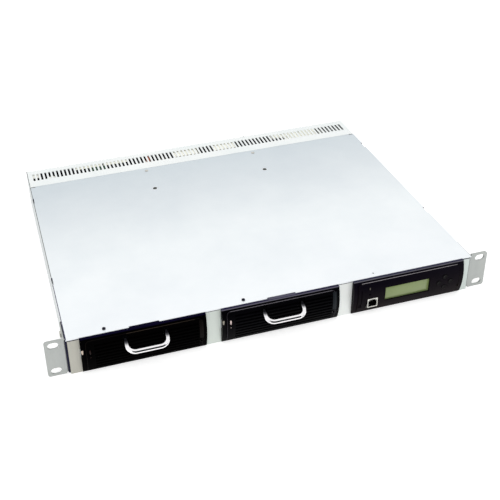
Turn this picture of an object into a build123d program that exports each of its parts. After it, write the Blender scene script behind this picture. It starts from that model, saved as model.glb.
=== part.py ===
# Rack power shelf, one rack unit high, with two rectifier modules and one controller.
# Frame: X to the right seen from the front, Y to the rear, Z up, millimetres.
# Origin: middle of the rack slot pattern, on the rear face of the two ears.
import os
from math import cos, radians, tan

from build123d import *

# Overall sizes
rack_width = 482.6
row_height = 44.45
row_gap = 0.85
ear_width = 21.3
body_depth = 343.0
cover_overhang = 0.4
running_gap = 0.4
touch_gap = 0.3
seam_gap = 0.5
pin_gap = 0.1
cut_over = 1.0

# Sheets
ear_sheet = 2.0
tray_sheet = 1.2
cover_sheet = 1.0
frame_sheet = 1.5
guide_sheet = 1.0
case_sheet = 1.0
board_sheet = 1.6

# Rack ears
slot_edge = 8.75
slot_spacing = 12.7
slot_long = 11.0
slot_high = 7.6
ear_corner = 3.0
ear_bend = 2.5
ear_flange = 31.0
ear_flange_trim = 1.8
ear_screw_count = 3
ear_screw_pitch = 13.0
ear_screw_setback = 17.0
pan_head_diameter = 7.0
pan_head_height = 1.8
screw_shank = 3.8
head_round_share = 0.45
recess_arm_share = 0.55
recess_slit_share = 0.13
recess_depth_share = 0.45

# Bays and their posts
left_post = 12.9
right_post = 10.5
middle_post = 16.3
post_overlap = 3.0
case_side_gap = 1.0
post_proud = 2.3
frame_lip = 15.0
frame_side_gap = 1.2
frame_round = 1.2
wall_setback = 4.0

# Module cases
case_front_setback = 1.8
floor_gap = 0.3
guide_gap = 0.6
guide_past = 2.5
tongue_width = 60.0
tongue_reach = 10.0
board_height = 5.6
spacer_diameter = 7.0
spacer_inset = 10.5

# Bezels
bezel_top_gap = 0.5
bezel_lip = 3.1
bezel_belly = 5.6
bezel_chin = 2.1
bezel_heel = 1.2
bezel_bottom_rise = 2.35
bezel_wall = 2.2
belly_height_share = 0.41
bezel_edge = 0.8
panel_inset = 5.0
panel_drop = 2.4
panel_proud = 0.8
panel_corner = 4.0
tab_width = 30.0
tab_setback = 1.2
grip_shift = 1.4
tab_gap = 0.5
rib_pitch = 3.9
rib_count = 8
rib_slot = 2.0
rib_first = 12.6
rib_left_margin = 13.5
rib_right_margin = 8.5
side_window_height = 11.0
side_window_middle = 3.5
side_window_depth = 2.0
snap_gap = 0.4
snap_proud = 0.5

# Bail handle
wire = 5.0
bail_span = 41.5
bail_reach = 16.9
bail_corner = 8.5
bail_rest = 27.2
bail_swing = 50.0
pivot_depth = 4.5
pivot_height = 12.3
hub_diameter = 5.4
hub_long = 5.5
pin_diameter = 3.0
pin_length = 2.6
lug_sheet = 2.0

# Lamps and small holes at the bezel's ends
lamp_margin = 8.8
lamp_height = 5.5
lamp_long = 7.0
lamp_wide = 2.6
spot_drop = 6.2
spot_diameter = 1.8
end_hole_margin = 5.6
end_hole_height = -9.0
end_hole = 3.6
small_end_hole = 2.5

# Fan
fan_clearance = 1.2
fan_depth = 20.0
fan_ring = 1.2
fan_side = 25.0
fan_hub = 15.0
blade_count = 7
blade_sheet = 1.2
blade_pitch = 38.0
blade_gap = 0.8
fan_spider = 2.0
spider_width = 3.0
axle_diameter = 2.0

# Module insides
sink_length = 150.0
sink_margin = 9.0
sink_high = 24.0
sink_base = 4.0
fin_count = 8
fin_sheet = 1.4
core_width = 42.0
core_length = 38.0
core_high = 24.0
core_shift = 2.0
core_place_share = 0.38
winding_width = 26.0
winding_over = 4.0
capacitor_diameter = 22.0
capacitor_high = 27.0
capacitor_pitch = 25.0
capacitor_setback = 84.0
capacitor_count = 3

# Controller face
display_left_margin = 35.7
display_right_margin = 40.3
display_high = 17.5
display_height = 0.2
display_sheet = 2.4
display_rim = 2.2
display_setback = 1.6
usb_margin = 21.5
usb_height = -7.3
usb_width = 12.7
usb_high = 12.4
usb_cavity_width = 8.5
usb_cavity_high = 7.8
usb_corner = 1.7
usb_depth = 17.0
usb_cavity_depth = 13.0
usb_tongue_width = 5.6
usb_tongue_high = 3.2
usb_tongue_setback = 4.6
button_margin = 22.8
button_height = 0.2
button_pitch = 6.9
button_diameter = 5.4
button_round = 0.4
button_flange = 6.4
button_flange_sheet = 0.8
button_proud = 0.7
button_travel = 0.7
status_margin = 17.9
status_height = 11.2
status_long = 3.0
status_wide = 1.2
latch_margin = 3.0
latch_width = 6.0
latch_top = 10.7
latch_bottom = -6.3
latch_foot_top = -7.0
latch_foot_bottom = -12.0
latch_foot_depth = 1.3
groove = 0.8
front_board_setback = 6.0
front_board_margin = 4.0
front_board_high = 34.0
reset_drop = 7.0
reset_hole = 2.0

# Rear strip and back panel
strip_depth = 43.0
strip_lip = 12.0
hood_bend = 0.8
vent_count = 85
vent_margin = 7.9
vent_long = 17.5
vent_wide = 2.6
vent_setback = 10.2
tick_wide = 1.3
tick_long = 2.6
tick_drop = 10.0
seam_notch_width = 7.0
seam_notch_depth = 1.6
side_notch_long = 13.0
side_notch_depth = 1.4
side_notch_drop = 3.0
side_notch_shares = (0.317, 0.887)
hood_flange = 20.0
cover_skirt = 9.0
cover_screw_side = -38.0
cover_screw_setback = 5.3
cover_screw_head = 3.6
cover_screw_high = 1.3
cover_screw_shank = 2.4
cover_screw_reach = 2.2
divider_screw_setback = 53.2
divider_screw_head = 5.0
divider_screw_shank = 2.8
rivet_setback = 6.4
rivet_head = 4.6
rivet_high = 0.5

# Rear board and what stands on it
rear_board_gap = 4.0
rear_board_depth = 73.0
rear_board_margin = 15.0
socket_front_reach = 9.5
socket_rear_reach = 5.0
socket_case_gap = 6.5
socket_width = 68.0
socket_high = 11.0
socket_drop = 3.6
bar_sheet = 2.0
bar_high = 13.0
bar_foot = 9.0
bar_foot_side = 20.0
bar_gap = 5.0
bar_setback = 9.0
header_headroom = 1.3
header_depth = 10.5
header_wall = 1.6
far_header_shares = ((-0.714, -0.555), (-0.545, -0.405), (0.509, 0.584), (0.595, 0.695), (0.705, 0.805))
near_header_shares = ((-0.907, -0.868), (0.595, 0.695), (0.705, 0.805))
relay_width = 33.0
relay_length = 25.8
relay_headroom = 1.6
relay_gap = 5.2
relay_share = -0.045
relay_clear = 4.0

# Back panel hardware
inlet_shares = (-0.8273, -0.2636)
inlet_width = 27.0
inlet_high = 19.5
inlet_depth = 21.0
inlet_flange = 2.0
inlet_flange_sheet = 2.0
inlet_wall = 1.9
inlet_corner = 3.8
inlet_floor = 3.0
inlet_pin_width = 4.0
inlet_pin_sheet = 2.0
inlet_pin_pitch = 7.0
inlet_pin_reach = 12.0
inlet_pin_rise = 2.0
inlet_height = -3.0
output_share = 0.3727
output_width = 35.0
output_high = 26.0
output_depth = 12.0
output_proud = 4.0
output_rib = 2.0
stud_diameter = 6.0
stud_root = 6.0
stud_pitch = 22.0
stud_reach = 16.0
nut_size = 10.0
nut_high = 5.0
ground_margin = 9.5
ground_height = 0.0
ground_diameter = 4.0
ground_nut_size = 7.0
ground_nut_high = 3.2
ground_reach = 10.0
port_margin = 27.0
port_width = 16.0
port_high = 13.6
port_depth = 18.0
port_wall = 1.6
port_cavity_depth = 14.0

# Places worked out from the sizes above
unit_height = row_height - row_gap
body_width = rack_width - 2 * ear_width
slot_pitch_x = rack_width - 2 * slot_edge
slot_pitch_z = row_height - slot_spacing
half_height = unit_height / 2
half_body = body_width / 2
half_rack = rack_width / 2
front_face = -ear_sheet - post_proud
frame_back = front_face + frame_sheet
panel_inside = body_depth - cover_sheet
wall_inside = half_body - tray_sheet
floor_top = -half_height + tray_sheet
cover_under = half_height - cover_sheet
lip_under = cover_under - frame_sheet
seam = body_depth - strip_depth
bezel_width = (body_width - left_post - right_post - 2 * middle_post) / 3
bay_pitch = bezel_width + middle_post
bay_shift = (left_post - right_post) / 2
bay_centres = [bay_shift + step * bay_pitch for step in (-1, 0, 1)]
bay_opening = bezel_width - 2 * post_overlap
case_width = bay_opening - 2 * case_side_gap
rear_board_rear = panel_inside - rear_board_gap
rear_board_front = rear_board_rear - rear_board_depth
rear_board_width = body_width - 2 * rear_board_margin
socket_front = rear_board_front - socket_front_reach
socket_rear = rear_board_front + socket_rear_reach
case_bottom = floor_top + floor_gap
case_top = lip_under - running_gap
case_front = frame_back + case_front_setback
case_rear = socket_front - socket_case_gap
guide_end = socket_front + guide_past
board_bottom = floor_top + board_height
board_top = board_bottom + board_sheet
bezel_rear = front_face - running_gap
bezel_top = half_height - bezel_top_gap
bezel_bottom = -half_height + bezel_edge
bezel_toe = bezel_bottom + bezel_bottom_rise
pivot_y = -ear_sheet - pivot_depth
header_high = cover_under - header_headroom - board_top
relay_high = cover_under - relay_headroom - board_top
fan_size = case_top - case_bottom - 2 * case_sheet - fan_clearance
fan_bore = fan_size - 2 * fan_ring
sink_width = case_width / 2 - 2 * sink_margin
core_side = case_width / 4 - core_shift
core_place = case_front + core_place_share * (case_rear - case_front)
display_width = bezel_width - display_left_margin - display_right_margin
display_side = (display_left_margin - display_right_margin) / 2
output_place = output_share * half_body
relay_places = (relay_share * half_body, output_place - output_width / 2 - relay_clear - relay_width / 2)
output_height = board_top + touch_gap + output_high / 2
ground_place = -half_body + ground_margin
port_place = half_body - port_margin
divider_screw_place = seam - divider_screw_setback
rivet_place = seam - rivet_setback

node_count = 0


def keep(shape, name):
    """Writes one named piece to the parts folder."""
    global node_count
    shape.label = name
    export_step(shape, "parts/" + name + ".step")
    node_count = node_count + 1


def block(x, y, z):
    """A box between pairs of low and high values."""
    centre = Pos((x[0] + x[1]) / 2, (y[0] + y[1]) / 2, (z[0] + z[1]) / 2)
    return centre * Box(x[1] - x[0], y[1] - y[0], z[1] - z[0])


def around(middle, size):
    """The pair of values half a size each side of a middle."""
    return (middle - size / 2, middle + size / 2)


def along_y(sketch, y):
    """A flat shape drawn in X and Z, carried from the first to the second y."""
    plane = Plane(origin=(0, y[1], 0), x_dir=(1, 0, 0), z_dir=(0, -1, 0))
    return extrude(plane * sketch, y[1] - y[0])


def along_z(sketch, z):
    """A flat shape drawn in X and Y, carried from the first to the second z."""
    return extrude(Pos(0, 0, z[0]) * sketch, z[1] - z[0])


def along_x(sketch, x):
    """A flat shape drawn in Y and Z, carried from the first to the second x."""
    plane = Plane(origin=(x[0], 0, 0), x_dir=(0, 1, 0), z_dir=(1, 0, 0))
    return extrude(plane * sketch, x[1] - x[0])


def hull_of(pieces):
    """Several solids as one group."""
    return Compound(children=[piece.solid() for piece in pieces])


def obround(middle, long, wide, turn=0):
    """A slot outline with round ends, its long side turned by some degrees."""
    return Pos(middle[0], middle[1]) * Rot(0, 0, turn) * SlotOverall(long, wide)


def disc(middle, diameter):
    """A round outline."""
    return Pos(middle[0], middle[1]) * Circle(diameter / 2)


# Shelf: tray, cover, hood, frame

def make_tray():
    """Floor and two side walls folded from one sheet, with board spacers pressed in."""
    y = (frame_back, panel_inside)
    outer = block((-half_body, half_body), y, (-half_height, cover_under))
    inner = block((-wall_inside, wall_inside), (y[0] - cut_over, y[1] + cut_over),
                  (floor_top, cover_under + cut_over))
    tray = outer - inner
    lower_edges = tray.edges().filter_by(Axis.Y).sort_by(Axis.Z)[:2]
    tray = fillet(lower_edges, tray_sheet)
    for x, y in spacer_places():
        tray = tray + along_z(disc((x, y), spacer_diameter), (floor_top - tray_sheet / 2, board_bottom))
    return tray - wall_cuts() - [ear_screw_bore(z) for z in ear_screw_heights()]


def wall_cuts():
    """What the side walls lose: their front ends, and a dip under each side notch of the cover."""
    cuts = []
    for side in (-1, 1):
        x = sorted((side * (half_body + cut_over), side * (wall_inside - cut_over)))
        cuts.append(block(x, (frame_back - cut_over, frame_back + wall_setback),
                          (floor_top, cover_under + cut_over)))
        for share in side_notch_shares:
            cuts.append(block(x, around(share * seam, side_notch_long),
                              (cover_under - side_notch_drop, cover_under + cut_over)))
    return cuts


def ear_screw_bore(z):
    """A round hole for an ear screw, right across the body."""
    hole = Plane.YZ * disc((ear_screw_setback, z), screw_shank + 2 * pin_gap)
    return extrude(hole, half_rack, both=True)


def spacer_places():
    """Where the rear board stands on the tray."""
    rows = (rear_board_front + spacer_inset, rear_board_rear - spacer_inset)
    columns = [side * (rear_board_width / 2 - spacer_inset) for side in (-1, 0, 1)]
    return [(x, y) for x in columns for y in rows]


def make_cover():
    """Flat top sheet with two folded skirts, notches for the bezel tabs and screw holes."""
    top = block((-half_body, half_body), (front_face - cover_overhang, seam), (cover_under, half_height))
    for side in (-1, 1):
        outer = side * (wall_inside - touch_gap)
        top = top + block(sorted((outer, outer - side * cover_sheet)),
                          (ear_flange, seam - strip_lip - cut_over),
                          (cover_under - cover_skirt, half_height - cover_sheet / 2))
    cuts = []
    for centre in bay_centres[:2]:
        cuts.append(block(around(centre + grip_shift, tab_width + 2 * tab_gap),
                          (front_face - cover_overhang - cut_over, bezel_rear + tab_setback + tab_gap),
                          (cover_under - cut_over, half_height + cut_over)))
    for side in (-1, 1):
        corner = sorted((side * (half_body + cut_over), side * (half_body - seam_notch_width)))
        cuts.append(block(corner, (seam - seam_notch_depth, seam + cut_over),
                          (cover_under - cut_over, half_height + cut_over)))
        for share in side_notch_shares:
            edge = sorted((side * (half_body + cut_over), side * (half_body - side_notch_depth)))
            cuts.append(block(edge, around(share * seam, side_notch_long),
                              (cover_under - cut_over, half_height + cut_over)))
    for centre in bay_centres:
        hole = disc((centre + cover_screw_side, front_face + cover_screw_setback), cover_screw_shank)
        cuts.append(along_z(hole, (cover_under - cut_over, half_height + cut_over)))
    for x in divider_centres():
        cuts.append(along_z(disc((x, divider_screw_place), divider_screw_shank),
                            (cover_under - cut_over, half_height + cut_over)))
        cuts.append(along_z(disc((x, rivet_place), divider_screw_shank),
                            (cover_under - cut_over, half_height + cut_over)))
    return top - cuts


def divider_centres():
    """Middle lines of the two posts between the bays."""
    return [bay_centres[1] - bay_pitch / 2, bay_centres[1] + bay_pitch / 2]


def vent_places():
    """Middles of the vent slots across the strip."""
    half = half_body - vent_margin
    return [-half + index * 2 * half / (vent_count - 1) for index in range(vent_count)]


def make_hood():
    """One sheet: a lip under the cover, the slotted strip and the back panel."""
    lip_top = cover_under
    hood = block((-half_body + seam_notch_width, half_body - seam_notch_width),
                 (seam - strip_lip, seam + cover_sheet), (lip_top - cover_sheet, lip_top))
    hood = hood + block((-half_body, half_body), (seam + seam_gap, body_depth), (lip_top, half_height))
    hood = hood + block((-half_body, half_body), (panel_inside, body_depth), (-half_height, half_height))
    for side in (-1, 1):
        flange_x = sorted((side * (wall_inside - cover_sheet), side * wall_inside))
        hood = hood + block(flange_x, (panel_inside - hood_flange, panel_inside + cover_sheet / 2),
                            (floor_top + touch_gap, cover_under - touch_gap))
    hood = fillet(hood.edges().filter_by(Axis.X).sort_by(Axis.Z)[-2:].sort_by(Axis.Y)[-1:], hood_bend)
    rear = body_depth - vent_setback + vent_wide
    cuts = [block(around(x, vent_wide), (rear - vent_long - vent_wide, rear - vent_wide),
                  (cover_under - 2 * cover_sheet, half_height + cut_over)) for x in vent_places()]
    cuts = cuts + [block(around(x, tick_wide), (body_depth - tick_long, body_depth + cut_over),
                         (half_height - tick_drop, half_height + cut_over)) for x in vent_places()]
    hood = hood - cuts
    return hood - panel_holes()


def panel_holes():
    """Openings in the back panel for its connectors."""
    through = (panel_inside - cut_over, body_depth + cut_over)
    holes = [block(around(x, inlet_width), through, around(inlet_height, inlet_high)) for x in inlet_places()]
    holes.append(block(around(output_place, output_width), through, around(output_height, output_high)))
    holes.append(block(around(port_place, port_width), through, (board_top, board_top + port_high)))
    holes.append(along_y(disc((ground_place, ground_height), ground_diameter), through))
    for x in divider_centres():
        hole = disc((x, rivet_place), divider_screw_shank)
        holes.append(along_z(hole, (cover_under - cover_sheet - cut_over, cover_under + cut_over)))
    return holes


def make_front_frame():
    """Stamped front with three openings and a lip that the cover is screwed to."""
    edge = half_body - frame_side_gap
    frame = block((-edge, edge), (front_face, frame_back), (-half_height, cover_under))
    frame = fillet(frame.edges().filter_by(Axis.X).group_by(Axis.Y)[0].sort_by(Axis.Z)[-1:], frame_round)
    frame = frame + block((-wall_inside + touch_gap, wall_inside - touch_gap),
                          (frame_back - frame_sheet / 2, frame_back + frame_lip), (lip_under, cover_under))
    cuts = []
    for centre in bay_centres:
        cuts.append(block(around(centre, bay_opening), (front_face - cut_over, frame_back + cut_over),
                          (floor_top, lip_under)))
        hole = disc((centre + cover_screw_side, front_face + cover_screw_setback), cover_screw_shank)
        cuts.append(along_z(hole, (lip_under - cut_over, cover_under + cut_over)))
    return frame - cuts


def make_ear(side):
    """Angle bracket with two rack slots; side is -1 on the left and 1 on the right."""
    outline = Pos((half_rack + half_body) / 2, 0) * Rectangle(half_rack - half_body, unit_height)
    outline = fillet(outline.vertices().group_by(Axis.X)[-1], ear_corner)
    for up in (-1, 1):
        outline = outline - obround((slot_pitch_x / 2, up * slot_pitch_z / 2), slot_long, slot_high)
    flange_half = half_height - ear_flange_trim
    flat = along_y(outline, (-ear_sheet, 0))
    wing = block((half_body, half_body + ear_sheet), (-ear_sheet, ear_flange - ear_sheet),
                 (-flange_half, flange_half))
    wing_ends = wing.edges().filter_by(Axis.X).group_by(Axis.Y)[-1]
    wing = fillet(wing_ends, ear_corner)
    corner_trim = [block((half_body - cut_over, half_body + ear_bend), (-ear_sheet - cut_over, cut_over), z)
                   for z in ((flange_half, half_height + cut_over), (-half_height - cut_over, -flange_half))]
    ear = (flat - corner_trim) + wing
    ear = ear + block((half_body + ear_sheet / 2, half_body + ear_sheet + ear_bend / 2),
                      (-ear_sheet / 2, ear_bend / 2), (-flange_half, flange_half))
    upright = ear.edges().filter_by(Axis.Z)
    bend = upright.filter_by_position(Axis.X, half_body - touch_gap, half_body + touch_gap)
    ear = fillet(bend.sort_by(Axis.Y)[:1], ear_sheet)
    ear = ear - [ear_screw_bore(z) for z in ear_screw_heights()]
    return ear if side > 0 else mirror(ear, Plane.YZ)


def ear_screw_heights():
    """Heights of the screws through each ear's side wing."""
    return [(index - (ear_screw_count - 1) / 2) * ear_screw_pitch for index in range(ear_screw_count)]


def pan_screw(head_diameter, head_high, shank_diameter, reach, recess=True):
    """A pan head screw standing on the plane z = 0 with its shank below it."""
    head = Pos(0, 0, head_high / 2) * Cylinder(head_diameter / 2, head_high)
    head = fillet(head.edges().group_by(Axis.Z)[-1], head_high * head_round_share)
    if recess:
        depth = 2 * head_high * recess_depth_share
        cross = Box(head_diameter * recess_arm_share, head_diameter * recess_slit_share, depth)
        for turn in (0, 90):
            head = head - Pos(0, 0, head_high) * Rot(0, 0, turn) * cross
    return head + Pos(0, 0, -reach / 2) * Cylinder(shank_diameter / 2, reach)


def make_ear_screws():
    """The pan head screws that hold both ears."""
    screws = []
    for side in (-1, 1):
        for z in ear_screw_heights():
            seat = Plane(origin=(side * (half_body + ear_sheet), ear_screw_setback, z),
                         x_dir=(0, 1, 0), z_dir=(side, 0, 0))
            reach = ear_sheet + tray_sheet
            screws.append(seat * pan_screw(pan_head_diameter, pan_head_height, screw_shank, reach))
    return hull_of(screws)


def make_channel(x):
    """An upturned channel of sheet that guides a module, standing on the tray."""
    y = (frame_back + frame_lip + touch_gap, guide_end)
    outer = block(x, y, (floor_top, cover_under))
    inner = block((x[0] + guide_sheet, x[1] - guide_sheet), (y[0] - cut_over, y[1] + cut_over),
                  (floor_top - cut_over, cover_under - guide_sheet))
    return outer - inner


def guide_edges(index):
    """The two sides of one bay's guide way."""
    half = case_width / 2 + guide_gap
    return bay_centres[index] - half, bay_centres[index] + half


def make_divider(index):
    """The channel between two bays, with its screw hole."""
    channel = make_channel((guide_edges(index)[1], guide_edges(index + 1)[0]))
    hole = disc((divider_centres()[index], divider_screw_place), divider_screw_shank)
    return channel - along_z(hole, (cover_under - 2 * guide_sheet, cover_under + cut_over))


def make_cover_screws():
    """Two small dark screws through the cover into the frame lip."""
    screws = []
    for centre in bay_centres[:2]:
        seat = Pos(centre + cover_screw_side, front_face + cover_screw_setback, half_height)
        screws.append(seat * pan_screw(cover_screw_head, cover_screw_high, cover_screw_shank,
                                       cover_screw_reach))
    return hull_of(screws)


def make_divider_screws():
    """Flat screws that hold the cover to the dividers."""
    screws = [Pos(x, divider_screw_place, half_height)
              * pan_screw(divider_screw_head, rivet_high, divider_screw_shank, cover_screw_reach)
              for x in divider_centres()]
    return hull_of(screws)


def make_rivets():
    """Rivets that join the cover and the lip of the hood."""
    rivets = [Pos(x, rivet_place, half_height)
              * pan_screw(rivet_head, rivet_high, divider_screw_shank, 2 * cover_sheet, False)
              for x in divider_centres()]
    return hull_of(rivets)


# Shelf: rear board and back panel hardware

def make_rear_board():
    """The flat circuit board along the back."""
    return block(around(0, rear_board_width), (rear_board_front, rear_board_rear), (board_bottom, board_top))


def make_sockets():
    """One edge socket for each bay, gripping the rear board."""
    sockets = []
    for centre in bay_centres:
        body = block(around(centre, socket_width), (socket_front, socket_rear),
                     (board_bottom - socket_drop, board_bottom - socket_drop + socket_high))
        front_slot = block(around(centre, tongue_width + 2 * running_gap),
                           (socket_front - cut_over, case_rear + tongue_reach + running_gap),
                           (board_bottom - running_gap, board_top + running_gap))
        rear_slot = block(around(centre, socket_width + cut_over), (rear_board_front, socket_rear + cut_over),
                          (board_bottom, board_top))
        sockets.append(body - front_slot - rear_slot)
    return hull_of(sockets)


def make_bar(order, target):
    """A copper bar on edge: feet on the board, a run along X and a run back to its stud."""
    front = rear_board_front + bar_setback + order * (bar_sheet + bar_gap)
    bottom = board_top + bar_gap
    left = bay_centres[0] - bar_foot_side - bar_foot
    bar = block((left, target + bar_sheet / 2), (front, front + bar_sheet), (bottom, bottom + bar_high))
    bar = bar + block(around(target, bar_sheet), (front, panel_inside - output_depth),
                      (bottom, bottom + bar_high))
    for centre in bay_centres[:2]:
        side = bar_foot_side * (1 - 2 * order)
        bar = bar + block(around(centre - side, bar_foot), (front, front + bar_sheet), (board_top, bottom))
    return bar


def make_output_block():
    """Insulating block that carries the output studs."""
    body = block(around(output_place, output_width), (panel_inside - output_depth, body_depth + output_proud),
                 around(output_height, output_high))
    rib = block(around(output_place, output_rib), (body_depth, body_depth + output_proud + output_depth),
                around(output_height, output_high))
    body = body + rib
    for x in stud_places():
        body = body - along_y(disc((x, output_height), stud_diameter),
                              (body_depth - stud_root, body_depth + output_proud + cut_over))
    return body


def stud_places():
    """Middles of the two output studs."""
    return around(output_place, stud_pitch)


def make_terminal_hardware():
    """Output studs with nuts, and the ground stud with its nut."""
    solids = []
    face = body_depth + output_proud
    for x in stud_places():
        solids.append(along_y(disc((x, output_height), stud_diameter),
                              (body_depth - stud_root, face + stud_reach)))
        solids.append(hex_nut((x, output_height), stud_diameter, nut_size, (face, face + nut_high)))
    inner_nut = (panel_inside - ground_nut_high, panel_inside)
    outer_nut = (body_depth, body_depth + ground_nut_high)
    place = (ground_place, ground_height)
    solids.append(along_y(disc(place, ground_diameter), (inner_nut[0], body_depth + ground_reach)))
    for y in (inner_nut, outer_nut):
        solids.append(hex_nut(place, ground_diameter, ground_nut_size, y))
    return hull_of(solids)


def hex_nut(middle, bore, across, y):
    """A plain hexagon nut on an axis along Y."""
    flat = Pos(middle[0], middle[1]) * RegularPolygon(across / 2, 6, major_radius=False)
    return along_y(flat - disc(middle, bore), y)


def inlet_places():
    """Middles of the two mains inlets."""
    return [share * half_body for share in inlet_shares]


def make_inlet(x):
    """Snap-in mains inlet: a deep rectangular cup with two cut corners."""
    shell = block(around(x, inlet_width), (body_depth - inlet_depth, body_depth),
                  around(inlet_height, inlet_high))
    flange = block(around(x, inlet_width + 2 * inlet_flange), (body_depth, body_depth + inlet_flange_sheet),
                   around(inlet_height, inlet_high + 2 * inlet_flange))
    cup = Rectangle(inlet_width - 2 * inlet_wall, inlet_high - 2 * inlet_wall)
    cup = chamfer(cup.vertices().group_by(Axis.Y)[-1], inlet_corner)
    hollow = along_y(Pos(x, inlet_height) * cup,
                     (body_depth - inlet_depth + inlet_floor, body_depth + inlet_flange_sheet + cut_over))
    inlet = shell + flange - hollow
    for place in inlet_pin_places(x):
        inlet = inlet - block(around(place[0], inlet_pin_sheet),
                              (body_depth - inlet_depth, body_depth - inlet_depth + inlet_floor),
                              around(place[1], inlet_pin_width))
    return inlet


def inlet_pin_places(x):
    """Middles of the three pins of an inlet."""
    low = inlet_height - inlet_pin_rise
    return [(x - inlet_pin_pitch, low), (x + inlet_pin_pitch, low), (x, inlet_height + inlet_pin_rise)]


def make_inlet_pins():
    """Flat pins of both inlets, with solder tails behind."""
    pins = []
    back = body_depth - inlet_depth
    for x in inlet_places():
        for place in inlet_pin_places(x):
            pins.append(block(around(place[0], inlet_pin_sheet),
                              (back - inlet_floor, back + inlet_floor + inlet_pin_reach),
                              around(place[1], inlet_pin_width)))
    return hull_of(pins)


def make_port():
    """Shielded signal port with an open mouth at the back."""
    z = (board_top, board_top + port_high)
    y = (body_depth - port_depth, body_depth + cover_sheet / 2)
    shell = block(around(port_place, port_width), y, z)
    mouth = block(around(port_place, port_width - 2 * port_wall), (y[1] - port_cavity_depth, y[1] + cut_over),
                  (z[0] + port_wall, z[1] - port_wall))
    return shell - mouth


def header_boxes():
    """Places of the white headers, as x and y pairs, in two rows."""
    far_row = (rear_board_rear - header_depth - touch_gap, rear_board_rear - touch_gap)
    near_row = (relay_front(), relay_front() + header_depth)
    far = [(share, far_row) for share in far_header_shares]
    near = [(share, near_row) for share in near_header_shares]
    return [((share[0] * half_body, share[1] * half_body), row) for share, row in far + near]


def relay_front():
    """Where the relays and the near row of headers begin."""
    return panel_inside - relay_gap - relay_length


def make_headers():
    """White plug headers that stand tall under the vents."""
    solids = []
    for x, y in header_boxes():
        body = block(x, y, (board_top, board_top + header_high))
        pocket = block((x[0] + header_wall, x[1] - header_wall), (y[0] + header_wall, y[1] - header_wall),
                       (board_top + header_high - header_depth, board_top + header_high + cut_over))
        solids.append(body - pocket)
    return hull_of(solids)


def make_relays():
    """Two cream power relays on the rear board."""
    solids = []
    for place in relay_places:
        body = block(around(place, relay_width), (relay_front(), relay_front() + relay_length),
                     (board_top, board_top + relay_high))
        solids.append(fillet(body.edges().group_by(Axis.Z)[-1], cover_sheet))
    return hull_of(solids)


# Rectifier modules and controller: shared pieces

def make_case(centre, with_tabs):
    """Folded case: floor, sides and back, with a window for the board's tongue."""
    x = around(centre, case_width)
    outer = block(x, (case_front, case_rear), (case_bottom, case_top - case_sheet))
    inner = block((x[0] + case_sheet, x[1] - case_sheet), (case_front - cut_over, case_rear - case_sheet),
                  (case_bottom + case_sheet, case_top))
    case = outer - inner
    window = block(around(centre, tongue_width + 4 * running_gap),
                   (case_rear - 2 * case_sheet, case_rear + cut_over),
                   (board_bottom - 2 * running_gap, board_top + 2 * running_gap))
    case = case - window
    for bx, by in case_spacer_places(centre):
        case = case + along_z(disc((bx, by), spacer_diameter), (case_bottom + case_sheet / 2, board_bottom))
    if with_tabs:
        for side in (-1, 1):
            case = case + snap_tab(centre, side)
    return case


def snap_tab(centre, side):
    """A bright tongue of the case that hooks into the bezel's side window."""
    inner = case_width / 2 - case_sheet
    outer = bezel_width / 2 + snap_proud
    z = around(side_window_middle, side_window_height - 2 * snap_gap)
    arm = block(sorted((centre + side * inner, centre + side * (inner + case_sheet))),
                (bezel_rear - side_window_depth, case_front + case_sheet), z)
    hook = block(sorted((centre + side * inner, centre + side * outer)),
                 (bezel_rear - side_window_depth, bezel_rear), z)
    return arm + hook


def case_spacer_places(centre):
    """Where a module's board stands on its case."""
    side = case_width / 2 - spacer_diameter
    ends = (case_front + board_setback() + spacer_diameter, case_rear - spacer_diameter * 2)
    return [(centre + across * side, along) for across in (-1, 1) for along in ends]


def board_setback():
    """How far a module's board starts behind the front of its case."""
    return fan_depth + spacer_diameter


def make_lid(centre):
    """Flat lid with two short skirts outside the board space."""
    x = around(centre, case_width)
    lid = block(x, (case_front, case_rear), (case_top - case_sheet, case_top))
    for side in (-1, 1):
        edge = centre + side * (case_width / 2 - case_sheet)
        lid = lid + block(sorted((edge, edge - side * case_sheet)),
                          (case_front + case_sheet, case_rear - 2 * case_sheet),
                          (case_top - cover_skirt, case_top - case_sheet / 2))
    return lid


def make_board(centre):
    """Main board with a narrower tongue that plugs into the bay's socket."""
    board = block(around(centre, case_width - 2 * case_sheet - 2 * running_gap),
                  (case_front + board_setback(), case_rear - case_sheet - running_gap),
                  (board_bottom, board_top))
    tongue = block(around(centre, tongue_width), (case_rear - 2 * case_sheet, case_rear + tongue_reach),
                   (board_bottom, board_top))
    return board + tongue


def bowed(setback):
    """Side profile of a bezel in Y and Z: flat back, round belly and a short chin."""
    back = bezel_rear
    lip = bezel_rear - bezel_lip + setback
    chin = bezel_rear - bezel_chin + setback
    top = bezel_top
    toe = bezel_toe
    middle = toe + (top - bezel_edge - toe) * belly_height_share
    face = ThreePointArc((lip, top - bezel_edge), (bezel_rear - bezel_belly + setback, middle), (chin, toe))
    heel = (chin + bezel_heel, bezel_bottom)
    lines = [Line((back, bezel_bottom), (back, top)), Line((back, top), (lip + bezel_edge, top)),
             Line((lip + bezel_edge, top), (lip, top - bezel_edge)), face,
             Line((chin, toe), heel), Line(heel, (back, bezel_bottom))]
    return make_face(lines)


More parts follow.
